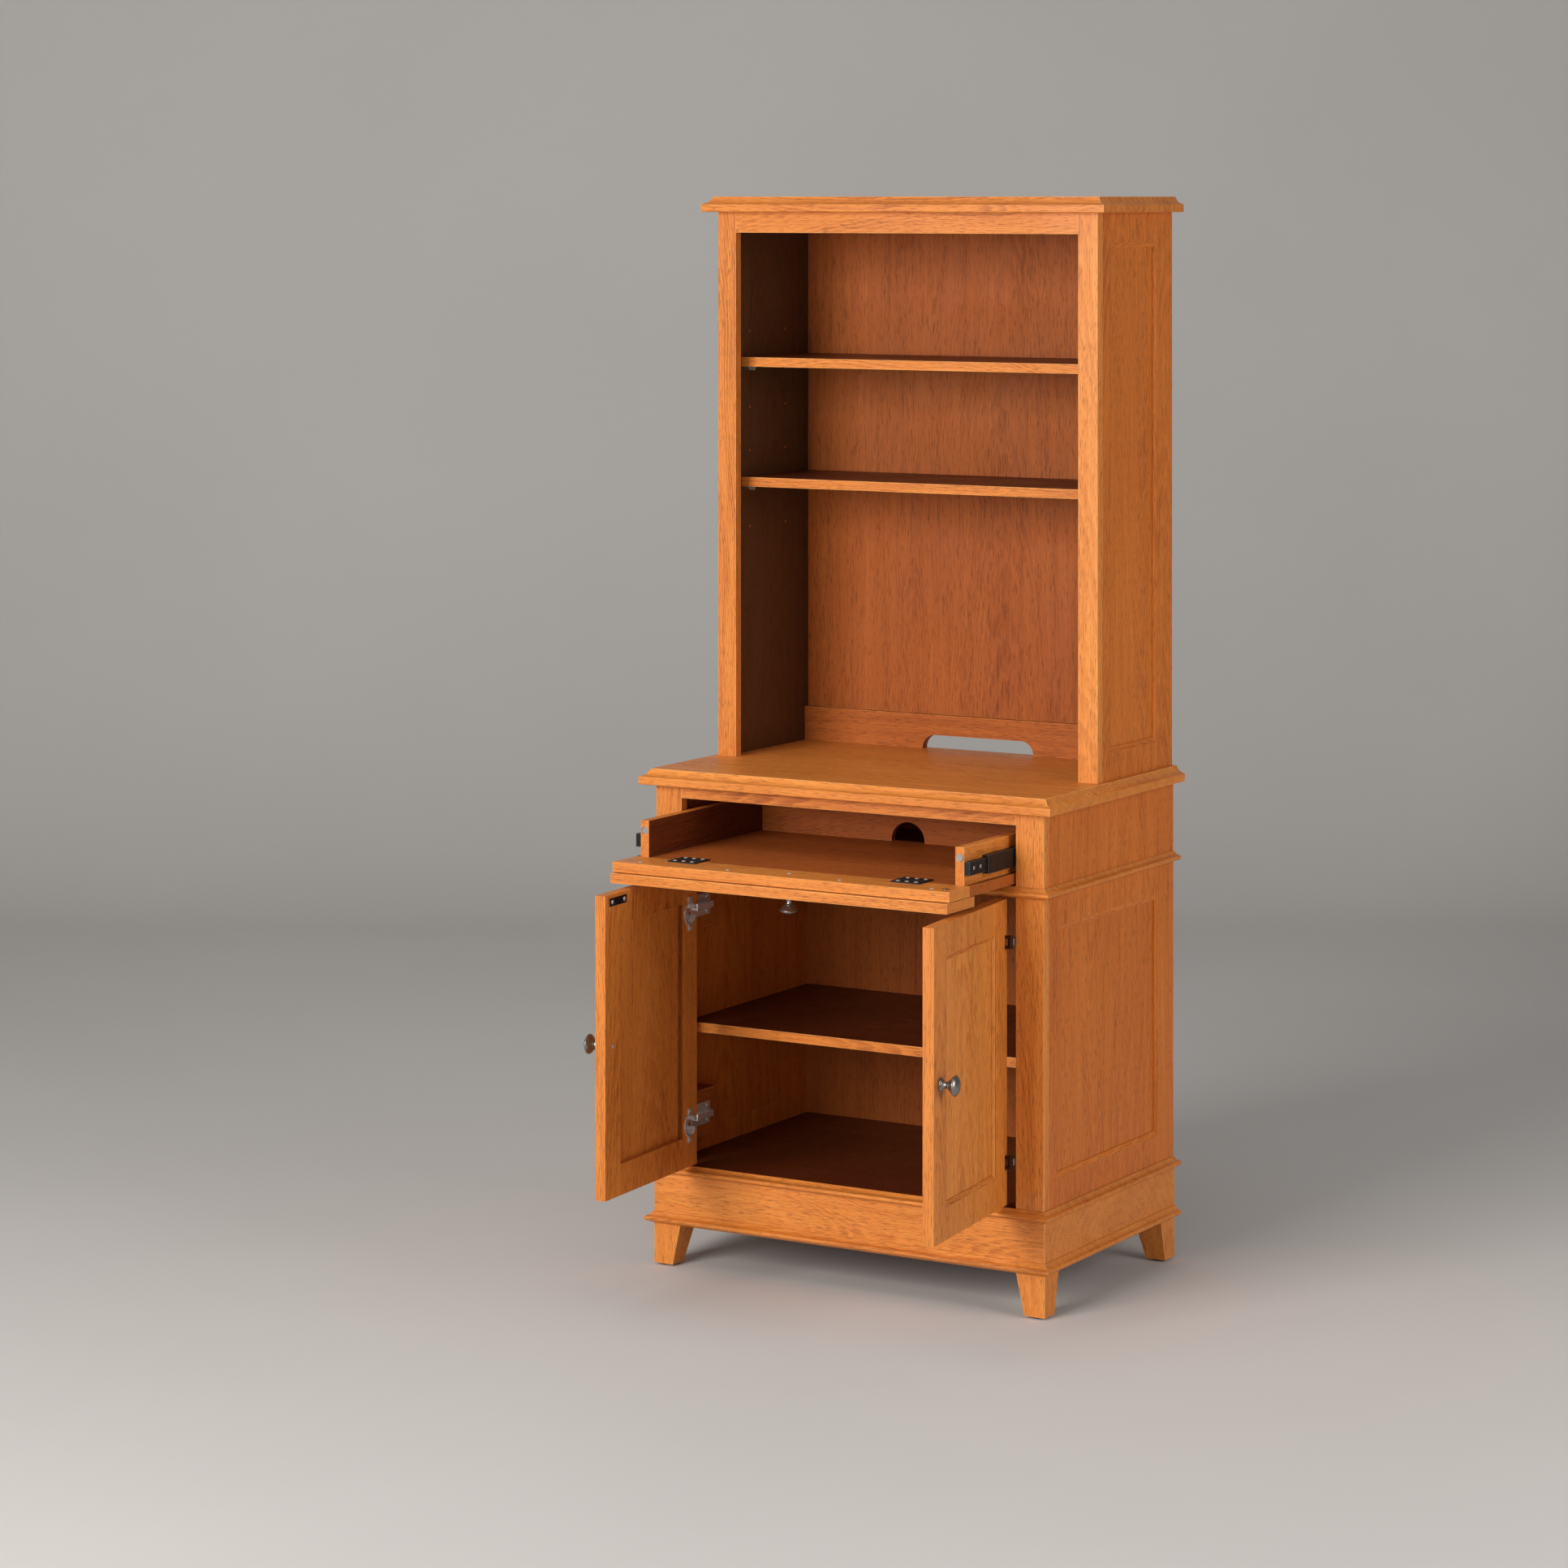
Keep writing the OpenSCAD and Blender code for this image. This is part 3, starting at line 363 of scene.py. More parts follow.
@dataclass(frozen=True)
class WoodFinish:
    """Stained oak under a clear satin lacquer."""

    name: str
    light: Rgb
    middle: Rgb
    dark: Rgb
    pore: Rgb
    rubbed: Rgb
    # This tint is multiplied over faces marked on the mask layer: painted shade, standing in for
    # the shade inside the cabinet, drawer and hutch.
    inner: Rgb = (150, 112, 104)
    dust_colour: Rgb = (190, 178, 160)
    pore_amount: float = 0.58
    band_width: float = 1.0
    band_depth: float = 0.30
    streak_depth: float = 0.42
    cloud_depth: float = 0.18
    tone_depth: float = 0.22
    roughness: float = 0.42
    gloss: float = 0.30
    coat: float = 0.12
    coat_roughness: float = 0.25
    dust: float = 0.02

    def material(self) -> bpy.types.Material:
        """Builds the wood: bands and streaks set the tone, pores darken it, arrises lighten it, and
        faces marked on the mask layer are darkened as painted shade.

        Returns:
            The material.
        """
        material, tree, shader = start_material(self.name)
        at = tree.add("Attribute", attribute_name="grain_at").outputs["Vector"]
        place = tree.add("TexCoord").outputs["Object"]
        figure = tree.group("oak_figure", {"Grain At": at, "Pore Amount": self.pore_amount,
                                           "Band Width": self.band_width})
        wear = tree.group("surface_wear", {"Position": place, "Arris": tree.layer("arris")})
        depth = tree.weighted(0.0, (figure["Bands"], self.band_depth),
                              (figure["Streaks"], self.streak_depth),
                              (figure["Clouds"], self.cloud_depth),
                              (tree.layer("board_tone"), self.tone_depth), clamp=True)
        colour = tree.mix("MIX", tree.ramp(depth, 0.0, 0.55), linear(*self.light),
                          linear(*self.middle))
        # Then the dark figure, the pores, the rubbed arrises, painted shade on the masked faces,
        # and the dust.
        for blend, factor, rgb in (
                ("MIX", tree.ramp(depth, 0.5, 1.0), self.dark),
                ("MIX", tree.math("MULTIPLY", figure["Pores"], 0.8), self.pore),
                ("MIX", tree.math("MULTIPLY", wear["Rubbed"], 0.55), self.rubbed),
                ("MULTIPLY", tree.layer("inner"), self.inner),
                ("MIX", tree.math("MULTIPLY", wear["Dust"], self.dust), self.dust_colour)):
            colour = tree.mix(blend, factor, colour, linear(*rgb))
        height = tree.weighted(0.0, (figure["Streaks"], 0.25), (figure["Pores"], -1.0))
        tree.fill(shader, {
            "Base Color": colour,
            "Roughness": tree.weighted(self.roughness, (wear["Smear"], 0.10),
                                       (figure["Pores"], 0.2), (wear["Rubbed"], -0.1)),
            "Normal": tree.bumped(height, 0.32, 0.00035), "Specular IOR Level": self.gloss,
            "Coat Weight": self.coat, "Coat Roughness": self.coat_roughness})
        return material


@dataclass(frozen=True)
class MetalFinish:
    """Plated, cast or painted metal."""

    name: str
    colour: Rgb
    worn: Rgb
    metallic: float = 1.0
    roughness: float = 0.3
    line_depth: float = 0.12
    # A dark brown multiplied over faces marked on the mask layer: painted shade.
    painted_shade_tint: Rgb = (62, 36, 24)

    def material(self) -> bpy.types.Material:
        """Builds the metal, with brushed lines, cloudiness, rubbed arrises and painted shade on the
        masked faces.

        Returns:
            The material.
        """
        material, tree, shader = start_material(self.name)
        place = tree.add("TexCoord").outputs["Object"]
        lines = tree.group("brushed_lines", {"Position": place})
        wear = tree.group("surface_wear", {"Position": place, "Arris": tree.layer("arris"),
                                           "Scale": 4.0})
        shade = tree.mix("MULTIPLY", tree.math("MULTIPLY", lines["Cloud"], 0.35),
                         linear(*self.colour), (0.72, 0.70, 0.68, 1.0))
        rubbed = tree.mix("MIX", tree.math("MULTIPLY", wear["Rubbed"], 0.5), shade,
                          linear(*self.worn))
        tree.fill(shader, {
            "Base Color": tree.mix("MULTIPLY", tree.layer("inner"), rubbed, linear(*self.painted_shade_tint)),
            "Metallic": self.metallic,
            "Roughness": tree.weighted(self.roughness, (lines["Lines"], self.line_depth),
                                       (wear["Smear"], 0.08)),
            "Normal": tree.bumped(lines["Lines"], 0.12, 0.0001)})
        return material


@dataclass(frozen=True)
class PlasticFinish:
    """Moulded plastic with a fine pebbled skin."""

    name: str
    colour: Rgb
    roughness: float = 0.55
    paler: int = 26

    def material(self) -> bpy.types.Material:
        """Builds the plastic.

        Returns:
            The material.
        """
        material, tree, shader = start_material(self.name)
        place = tree.add("TexCoord").outputs["Object"]
        wear = tree.group("surface_wear", {"Position": place, "Scale": 3.0})
        pale = linear(*(min(255, c + self.paler) for c in self.colour))
        pebble = tree.noise(place, 1800.0, 2.0, 0.5)
        tree.fill(shader, {
            "Base Color": tree.mix("MIX", tree.math("MULTIPLY", wear["Smear"], 0.25),
                                   linear(*self.colour), pale),
            "Roughness": tree.weighted(self.roughness - 0.07, (pebble, 0.15)),
            "Normal": tree.bumped(pebble, 0.25, 0.0001)})
        return material


HONEY = ((232, 148, 66), (214, 128, 52), (172, 90, 30), (104, 52, 18), (248, 192, 120))
FINISHES = {
    "oak": WoodFinish("honey_oak", *HONEY),
    # The sides' oak is a darker, redder copy of the honey oak: painted shade for the sides, which
    # face away from the window. Its tint for masked faces is painted shade too.
    "oak_side": WoodFinish("honey_oak_sides", (222, 128, 48), (204, 110, 34), (166, 82, 22),
                           (96, 46, 14), (242, 174, 96), inner=(99, 117, 196)),
    "inner_wood": WoodFinish("inner_laminate", (190, 104, 42), (166, 86, 32), (122, 58, 22),
                             (72, 34, 14), (232, 158, 90), pore_amount=0.5, band_depth=0.2,
                             streak_depth=0.3, roughness=0.5, gloss=0.2, coat=0.04),
    # These boards are the honey oak with a darker tint on their masked faces: painted shade for the
    # shade inside the cabinet, drawer and hutch.
    "edged": WoodFinish("edged_boards", *HONEY, inner=(118, 92, 98), gloss=0.25, coat=0.06),
    "black_metal": MetalFinish("black_steel", (30, 31, 33), (150, 150, 152), 0.6, 0.36),
    "nickel": MetalFinish("satin_nickel", (206, 205, 201), (240, 240, 238), 0.62, 0.24),
    # The hinges' nickel is a paler copy of the satin nickel: painted light, lifting hinges that sit
    # in shade.
    "hinge": MetalFinish("bright_nickel", (232, 231, 229), (248, 248, 246), 0.68, 0.22),
    # The magnets' metal is a darker copy of the nickel: painted shade, holding back their glare.
    "magnet": MetalFinish("magnet_steel", (150, 149, 146), (200, 200, 198), 0.5, 0.3),
    "pewter": MetalFinish("dark_pewter", (150, 146, 142), (214, 208, 200), 0.95, 0.2, 0.06),
    "glide_plastic": PlasticFinish("glide_plastic", (30, 30, 32)),
}


class Finishes:
    """The materials, each built once from its finish."""

    _made: dict[str, bpy.types.Material] = {}

    @classmethod
    def get(cls, slot: str) -> bpy.types.Material:
        """Finds a material, and builds it the first time.

        Args:
            slot: The finish's name.

        Returns:
            The material.
        """
        if slot not in cls._made:
            cls._made[slot] = FINISHES[slot].material()
        return cls._made[slot]


SLOT_OF = {s["node"]: s["material_slot"] for s in frame["record"]["subparts"]}
BODY_OF = {node: body for body, nodes in frame["record"]["behaviour"]["bodies"].items()
           for node in nodes}
JOINTS = {j["name"]: j for j in frame["record"]["behaviour"]["joints"]}


# ---- Mesh work ----


def merged_copy(*nodes: str) -> BMesh:
    """Copies CAD nodes into one bmesh with joined corners and whole flat faces.

    Args:
        *nodes: The nodes' names.

    Returns:
        The bmesh.
    """
    bm = bmesh.new()
    for node in nodes:
        bm.from_mesh(frame["nodes"][node].data)
    bmesh.ops.remove_doubles(bm, verts=bm.verts[:], dist=2e-6)
    bmesh.ops.dissolve_limit(bm, angle_limit=math.radians(0.4), use_dissolve_boundaries=False,
                             verts=bm.verts[:], edges=bm.edges[:])
    return bm


def add_to(target: BMesh, source: BMesh) -> None:
    """Adds one bmesh to another.

    Args:
        target: The bmesh that grows.
        source: The bmesh that is added, and freed.
    """
    mesh = bpy.data.meshes.new("passing")
    source.to_mesh(mesh)
    source.free()
    target.from_mesh(mesh)
    bpy.data.meshes.remove(mesh)


def halves(bm: BMesh, axis: int, at: float) -> tuple[BMesh, BMesh]:
    """Saws a bmesh in two at a plane and closes the cut.

    Args:
        bm: The bmesh, which is freed.
        axis: The plane's axis.
        at: Where the plane stands on that axis.

    Returns:
        The low half and the high half.
    """
    normal, point = Vector((0, 0, 0)), Vector((0, 0, 0))
    normal[axis], point[axis] = 1, at
    done = []
    for keep_low in (True, False):
        half = bm.copy()
        bmesh.ops.bisect_plane(half, geom=half.verts[:] + half.edges[:] + half.faces[:], dist=1e-7,
                               plane_co=point, plane_no=normal, clear_outer=keep_low,
                               clear_inner=not keep_low)
        rim = [e for e in half.edges if e.is_boundary]
        if rim:
            bmesh.ops.holes_fill(half, edges=rim, sides=0)
        done.append(half)
    bm.free()
    return done[0], done[1]


def islands(bm: BMesh) -> list[list[bmesh.types.BMVert]]:
    """Groups the corners of a bmesh into its separate boards.

    Args:
        bm: The bmesh.

    Returns:
        The corners of each board.
    """
    seen: set[bmesh.types.BMVert] = set()
    found = []
    for start in bm.verts:
        if start in seen:
            continue
        seen.add(start)
        stack, group = [start], []
        while stack:
            vert = stack.pop()
            group.append(vert)
            for edge in vert.link_edges:
                other = edge.other_vert(vert)
                if other not in seen:
                    seen.add(other)
                    stack.append(other)
        found.append(group)
    return found


def box_of(verts: Iterable[bmesh.types.BMVert]) -> tuple[Vector, Vector]:
    """Returns the lowest and highest corners about some vertices."""
    spots = [v.co for v in verts]
    return tuple(Vector([pick(c[i] for c in spots) for i in range(3)]) for pick in (min, max))


def ease_edges(bm: BMesh, width: float, steps: int = 2) -> None:
    """Rounds the sharp edges, and marks the new faces on the arris layer.

    Args:
        bm: The bmesh.
        width: The width of the rounding.
        steps: Its segments.
    """
    layer = bm.faces.layers.float.new("arris")
    sharp = [e for e in bm.edges if len(e.link_faces) == 2 and e.calc_face_angle(0) > SHARP]
    if sharp:
        made = bmesh.ops.bevel(bm, geom=sharp, offset=width, offset_type="OFFSET", segments=steps,
                               profile=0.6, affect="EDGES", clamp_overlap=True)
        for face in made["faces"]:
            face[layer] = 1.0


def facing_middle(face: Face) -> bool:
    """Tells whether a face looks towards the middle of the desk's width."""
    return face.normal.x * face.calc_center_median().x < -FACING_INWARD


def behind_edge(face: Face) -> bool:
    """Tells whether a face is any but the front edge of a shelf."""
    return face.normal.y > -FACING_FRONT


def mark_faces(bm: BMesh, layer_name: str, test: FaceTest) -> None:
    """Writes 1 on a face layer where a test holds.

    Args:
        bm: The bmesh.
        layer_name: The layer's name.
        test: The test of one face.
    """
    bm.normal_update()
    layer = bm.faces.layers.float.new(layer_name)
    for face in bm.faces:
        face[layer] = 1.0 if test(face) else 0.0


def round_corners(bm: BMesh, radius: float, thin: float) -> None:
    """Rounds the upright corner edges of thin lying plates.

    Args:
        bm: The bmesh.
        radius: The corner radius.
        thin: The greatest height of an edge that counts.
    """
    corner = [e for e in bm.edges if len(e.link_faces) == 2 and e.calc_face_angle(0) > SQUARE
              and abs(e.verts[0].co.z - e.verts[1].co.z) > UPRIGHT_SHARE * e.calc_length()
              and e.calc_length() < thin]
    bmesh.ops.bevel(bm, geom=corner, offset=radius, offset_type="OFFSET", segments=8, profile=0.5,
                    affect="EDGES", clamp_overlap=True)


def lay_grain(bm: BMesh, grain: Grain, rng: random.Random,
              upright_above: float = math.inf) -> None:
    """Writes each board's own grain coordinates and tone onto its corners.

    Args:
        bm: The bmesh.
        grain: The direction; LONGEST follows each board's longest side, and FACING runs
            across on boards that face forwards and up on boards that face sideways.
        rng: The random source.
        upright_above: The height from which boards are laid upright whatever the grain.
    """
    where = bm.verts.layers.float_vector.new("grain_at")
    tone_layer = bm.verts.layers.float.new("board_tone")
    for group in islands(bm):
        low, high = box_of(group)
        size = high - low
        along = grain.value
        if low.z > upright_above - 1 * MM:
            along = Grain.UPRIGHT.value
        elif grain is Grain.LONGEST:
            along = max(range(3), key=lambda i: size[i])
        elif grain is Grain.FACING:
            along = 0 if size.x > size.y else 2
        across = [i for i in range(3) if i != along]
        across.sort(key=lambda i: -size[i])
        middle = (low + high) / 2
        heart = (rng.uniform(-0.06, 0.06), rng.uniform(0.05, 0.11), rng.uniform(-3, 3))
        tone = rng.uniform(0.0, 1.0)
        for vert in group:
            spot = vert.co - middle
            vert[where] = (spot[across[0]] + heart[0], spot[across[1]] + heart[1],
                           spot[along] + heart[2])
            vert[tone_layer] = tone


def new_object(name: str, data: bpy.types.ID) -> bpy.types.Object:
    """Makes an object and links it into the scene.

    Args:
        name: Its name.
        data: Its mesh, light or camera.

    Returns:
        The object.
    """
    item = bpy.data.objects.new(name, data)
    bpy.context.scene.collection.objects.link(item)
    return item


def place_piece(mesh: bpy.types.Mesh, name: str, body: str,
                stands_for: Iterable[str] = (), weighted: bool = False,
                crease: float = CREASE) -> None:
    """Puts a mesh on its body as a piece.

    Args:
        mesh: The mesh, with its material.
        name: The piece's name.
        body: The body that it rides on.
        stands_for: The CAD nodes that it replaces.
        weighted: Whether large faces keep their shading flat.
        crease: The angle from which edges are shaded sharp.
    """
    mesh.shade_smooth()
    mesh.set_sharp_from_angle(angle=crease)
    piece = new_object(name, mesh)
    if weighted:
        piece.modifiers.new("flat_faces", "WEIGHTED_NORMAL").keep_sharp = True
    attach(piece, body)
    nodes = list(stands_for)
    if nodes:
        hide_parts(*nodes)
    log.info("%s on %s: %d faces", name, body, len(mesh.polygons))


def finish_piece(bm: BMesh, name: str, body: str, slot: str, stands_for: Iterable[str] = (),
                 finish: Optional[str] = None, weighted: bool = True) -> None:
    """Turns a bmesh into a piece on its body.

    Args:
        bm: The bmesh, which is freed.
        name: The piece's name.
        body: The body that it rides on.
        slot: The record's material slot.
        stands_for: The CAD nodes that it replaces.
        finish: The finish, if not that of the slot.
        weighted: Whether large faces keep their shading flat.
    """
    mesh = bpy.data.meshes.new(name)
    bm.to_mesh(mesh)
    bm.free()
    mesh.materials.append(Finishes.get(finish or slot))
    place_piece(mesh, name, body, stands_for, weighted)


def lathe(profile: Sequence[tuple[float, float]], steps: int = 72) -> BMesh:
    """Turns a profile about Z.

    Args:
        profile: Radius and height pairs, from the foot to the top, ends on the axis.
        steps: Segments round the axis.

    Returns:
        The closed bmesh.
    """
    bm = bmesh.new()
    rings = []
    for r, z in profile:
        if r < 1e-6:
            rings.append([bm.verts.new((0, 0, z))])
        else:
            rings.append([bm.verts.new((r * math.cos(2 * math.pi * i / steps),
                                        r * math.sin(2 * math.pi * i / steps), z))
                          for i in range(steps)])
    for low, high in zip(rings, rings[1:]):
        for i in range(steps):
            j = (i + 1) % steps
            corners = [low[i % len(low)], low[j % len(low)], high[j % len(high)],
                       high[i % len(high)]]
            unique = list(dict.fromkeys(corners))
            if len(unique) > 2:
                bm.faces.new(unique)
    bmesh.ops.recalc_face_normals(bm, faces=bm.faces[:])
    return bm


def smooth_profile(points: Sequence[tuple[float, float]],
                   steps: int = 6) -> list[tuple[float, float]]:
    """Runs a Catmull-Rom curve through profile points.

    Args:
        points: The points.
        steps: Samples between two points.

    Returns:
        The finer profile.
    """
    ends = [points[0], *points, points[-1]]
    fine = []
    for p0, p1, p2, p3 in zip(ends, ends[1:], ends[2:], ends[3:]):
        for s in range(steps):
            t = s / steps
            fine.append(tuple(
                0.5 * (2 * b + (c - a) * t + (2 * a - 5 * b + 4 * c - d) * t * t
                       + (3 * b - a - 3 * c + d) * t ** 3)
                for a, b, c, d in zip(p0, p1, p2, p3)))
    fine.append(tuple(points[-1]))
    return fine


# ---- Screws, made by Geometry Nodes ----


@dataclass
class Screws:
    """Cross-recess screws of one size, placed where they are asked for."""

    radius: float = 3.4 * MM
    height: float = 1.1 * MM
    recess_share: float = 0.28
    places: dict[str, list[tuple[Vector, Vector]]] = field(default_factory=dict)

    def put(self, body: str, at: Vector, facing: Vector) -> None:
        """Notes a screw on a body, at a point and with its head facing a direction."""
        self.places.setdefault(body, []).append((at.copy(), facing.normalized()))

    def tree(self) -> bpy.types.NodeTree:
        """Builds the node tree that turns points into screw heads.

        Returns:
            The geometry node group, with named inputs for its sizes.
        """
        group = bpy.data.node_groups.new("screw_heads", "GeometryNodeTree")
        for name, way, kind in (
                ("Geometry", "INPUT", "Geometry"), ("Head Radius", "INPUT", "Float"),
                ("Head Height", "INPUT", "Float"), ("Recess Width", "INPUT", "Float"),
                ("Material", "INPUT", "Material"), ("Geometry", "OUTPUT", "Geometry")):
            group.interface.new_socket(name=name, in_out=way, socket_type="NodeSocket" + kind)
        tree = Tree(group)
        given, out = tree.add("NodeGroupInput").outputs, tree.add("NodeGroupOutput")
        radius, height = given["Head Radius"], given["Head Height"]

        def raised(shape: bpy.types.Node, share: float) -> Socket:
            """Lifts a shape by a share of the head's height."""
            rise = tree.add("CombineXYZ", {2: tree.math("MULTIPLY", height, share)})
            return tree.add("GeometryNodeTransform", {"Geometry": shape.outputs["Mesh"],
                                                      "Translation": rise.outputs[0]}).outputs[0]

        rim = tree.add("GeometryNodeMeshCylinder", {
            "Vertices": 28, "Radius": radius, "Depth": tree.math("MULTIPLY", height, 0.6)})
        dome = tree.add("GeometryNodeMeshCone", {
            "Vertices": 28, "Radius Top": tree.math("MULTIPLY", radius, 0.72),
            "Radius Bottom": radius, "Depth": tree.math("MULTIPLY", height, 0.5)})
        solid = tree.add("GeometryNodeMeshBoolean", operation="UNION")
        tree.link(rim.outputs["Mesh"], solid.inputs["Mesh 2"])
        tree.link(raised(dome, 0.3), solid.inputs["Mesh 2"])
        cut = tree.add("GeometryNodeMeshBoolean", {"Mesh 1": solid.outputs[0]},
                       operation="DIFFERENCE")
        sizes = (given["Recess Width"], tree.math("MULTIPLY", radius, 1.15))
        for x, y in (sizes, sizes[::-1]):
            size = tree.add("CombineXYZ", {0: x, 1: y, 2: height})
            bar = tree.add("GeometryNodeMeshCube", {"Size": size.outputs[0]})
            tree.link(raised(bar, 0.6), cut.inputs["Mesh 2"])
        turn = tree.add("GeometryNodeInputNamedAttribute", {"Name": "facing"},
                        data_type="FLOAT_VECTOR")
        aim = tree.add("FunctionNodeAlignEulerToVector", {"Vector": turn.outputs[0]}, axis="Z")
        spots = tree.add("GeometryNodeInstanceOnPoints", {
            "Points": given["Geometry"], "Instance": cut.outputs[0], "Rotation": aim.outputs[0]})
        real = tree.add("GeometryNodeRealizeInstances", {0: spots.outputs[0]})
        paint = tree.add("GeometryNodeSetMaterial", {"Geometry": real.outputs[0],
                                                     "Material": given["Material"]})
        tree.link(paint.outputs[0], out.inputs[0])
        return group

    def build(self, slot: str, label: str) -> None:
        """Makes one mesh of screws for each body.

        Args:
            slot: The screws' material slot.
            label: The start of each piece's name.
        """
        group = self.tree()
        ids = {item.name: item.identifier for item in group.interface.items_tree
               if item.in_out == "INPUT"}
        for body, spots in self.places.items():
            mesh = bpy.data.meshes.new("screw_points")
            mesh.from_pydata([tuple(at) for at, _ in spots], [], [])
            facing = mesh.attributes.new("facing", "FLOAT_VECTOR", "POINT")
            for i, (_, way) in enumerate(spots):
                facing.data[i].vector = way
            points = new_object("screw_points", mesh)
            nodes = points.modifiers.new("screw_heads", "NODES")
            nodes.node_group = group
            for name, value in (("Head Radius", self.radius), ("Head Height", self.height),
                                ("Recess Width", self.radius * self.recess_share),
                                ("Material", Finishes.get(slot))):
                nodes[ids[name]] = value
            graph = bpy.context.evaluated_depsgraph_get()
            baked = bpy.data.meshes.new_from_object(points.evaluated_get(graph), depsgraph=graph)
            bpy.data.objects.remove(points)
            baked.name = f"{label}_{body}"
            place_piece(baked, f"{label}_{body}", body, crease=SCREW_CREASE)


# ---- Sub-assemblies ----


@dataclass
class BeadRing:
    """The small stepped bead round a recessed panel, mitred at its corners."""

    width: float = 7.5 * MM
    drop: float = 0.35 * MM
    foot: float = 0.45

    def mesh(self, low: Vector, high: Vector, face: float, panel: float) -> BMesh:
        """Builds the ring with its width along X, its height along Z and its depth along Y.

        Args:
            low: The window's lowest corner.
            high: The window's highest corner.
            face: The depth of the frame's face.
            panel: The depth of the panel's face.

        Returns:
            The bmesh.
        """
        top, sunk = face + self.drop, panel + 0.5 * MM
        slope_end = panel - (panel - face) * self.foot
        inward = [(0.0, top), (self.width * 0.16, top), (self.width * 0.24, top + 0.7 * MM),
                  (self.width * 0.92, slope_end), (self.width, slope_end + 0.2 * MM),
                  (self.width, sunk), (0.0, sunk)]
        bm = bmesh.new()
        corners = [(low.x, low.z, 1, 1), (high.x, low.z, -1, 1), (high.x, high.z, -1, -1),
                   (low.x, high.z, 1, -1)]
        for (x0, z0, sx0, sz0), (x1, z1, sx1, sz1) in zip(corners, corners[1:] + corners[:1]):
            first = [bm.verts.new((x0 + sx0 * d, y, z0 + sz0 * d)) for d, y in inward]
            last = [bm.verts.new((x1 + sx1 * d, y, z1 + sz1 * d)) for d, y in inward]
            for i in range(len(inward)):
                j = (i + 1) % len(inward)
                bm.faces.new((first[i], first[j], last[j], last[i]))
            bm.faces.new(first[::-1])
            bm.faces.new(last)
        bmesh.ops.recalc_face_normals(bm, faces=bm.faces[:])
        return bm


@dataclass(frozen=True)
class Batch:
    """Nodes whose boards are dressed alike."""

    nodes: tuple[str, ...]
    grain: Grain = Grain.LONGEST
    ease: Optional[float] = None
    inner: Optional[FaceTest] = None
    finish: Optional[str] = None


BASE_BOARDS = (
    Batch(("base_stile_left", "base_stile_right", "side_panels", "base_back", "foot_front_left",
           "foot_front_right", "foot_back_left", "foot_back_right"), Grain.UPRIGHT),
    Batch(("desktop", "base_top_rail", "waist_rail", "hinge_blocks", "runner_spacers")),
    # The floor, divider and shelf take painted shade on every face but their front edges.
    Batch(("cabinet_floor", "drawer_divider", "inner_shelf"), inner=behind_edge, finish="edged"),
    Batch(("plinth_boards",), Grain.FACING),
    Batch(("waist_mouldings", "plinth_cap_mouldings", "base_mouldings"), ease=0.4 * MM),
)
HUTCH_BOARDS = (
    Batch(("hutch_stiles", "hutch_back"), Grain.UPRIGHT),
    Batch(("crown", "hutch_top_rail", "hutch_back_rail"), Grain.ACROSS),
    # The shelves take painted shade behind their front edges, and the side panels on the faces
    # towards the middle.
    Batch(("upper_shelf", "lower_shelf"), Grain.ACROSS, inner=behind_edge, finish="edged"),
    Batch(("hutch_side_panels",), Grain.UPRIGHT, inner=facing_middle),
)
DRAWER_BOARDS = (
    Batch(("tray", "drawer_back"), Grain.ACROSS),
    Batch(("flap", "drop_front"), Grain.ACROSS, 0.9 * MM, finish="oak"),
    # The drawer sides take painted shade on the faces towards the middle.
    Batch(("drawer_side_left", "drawer_side_right"), inner=facing_middle, finish="edged"),
)


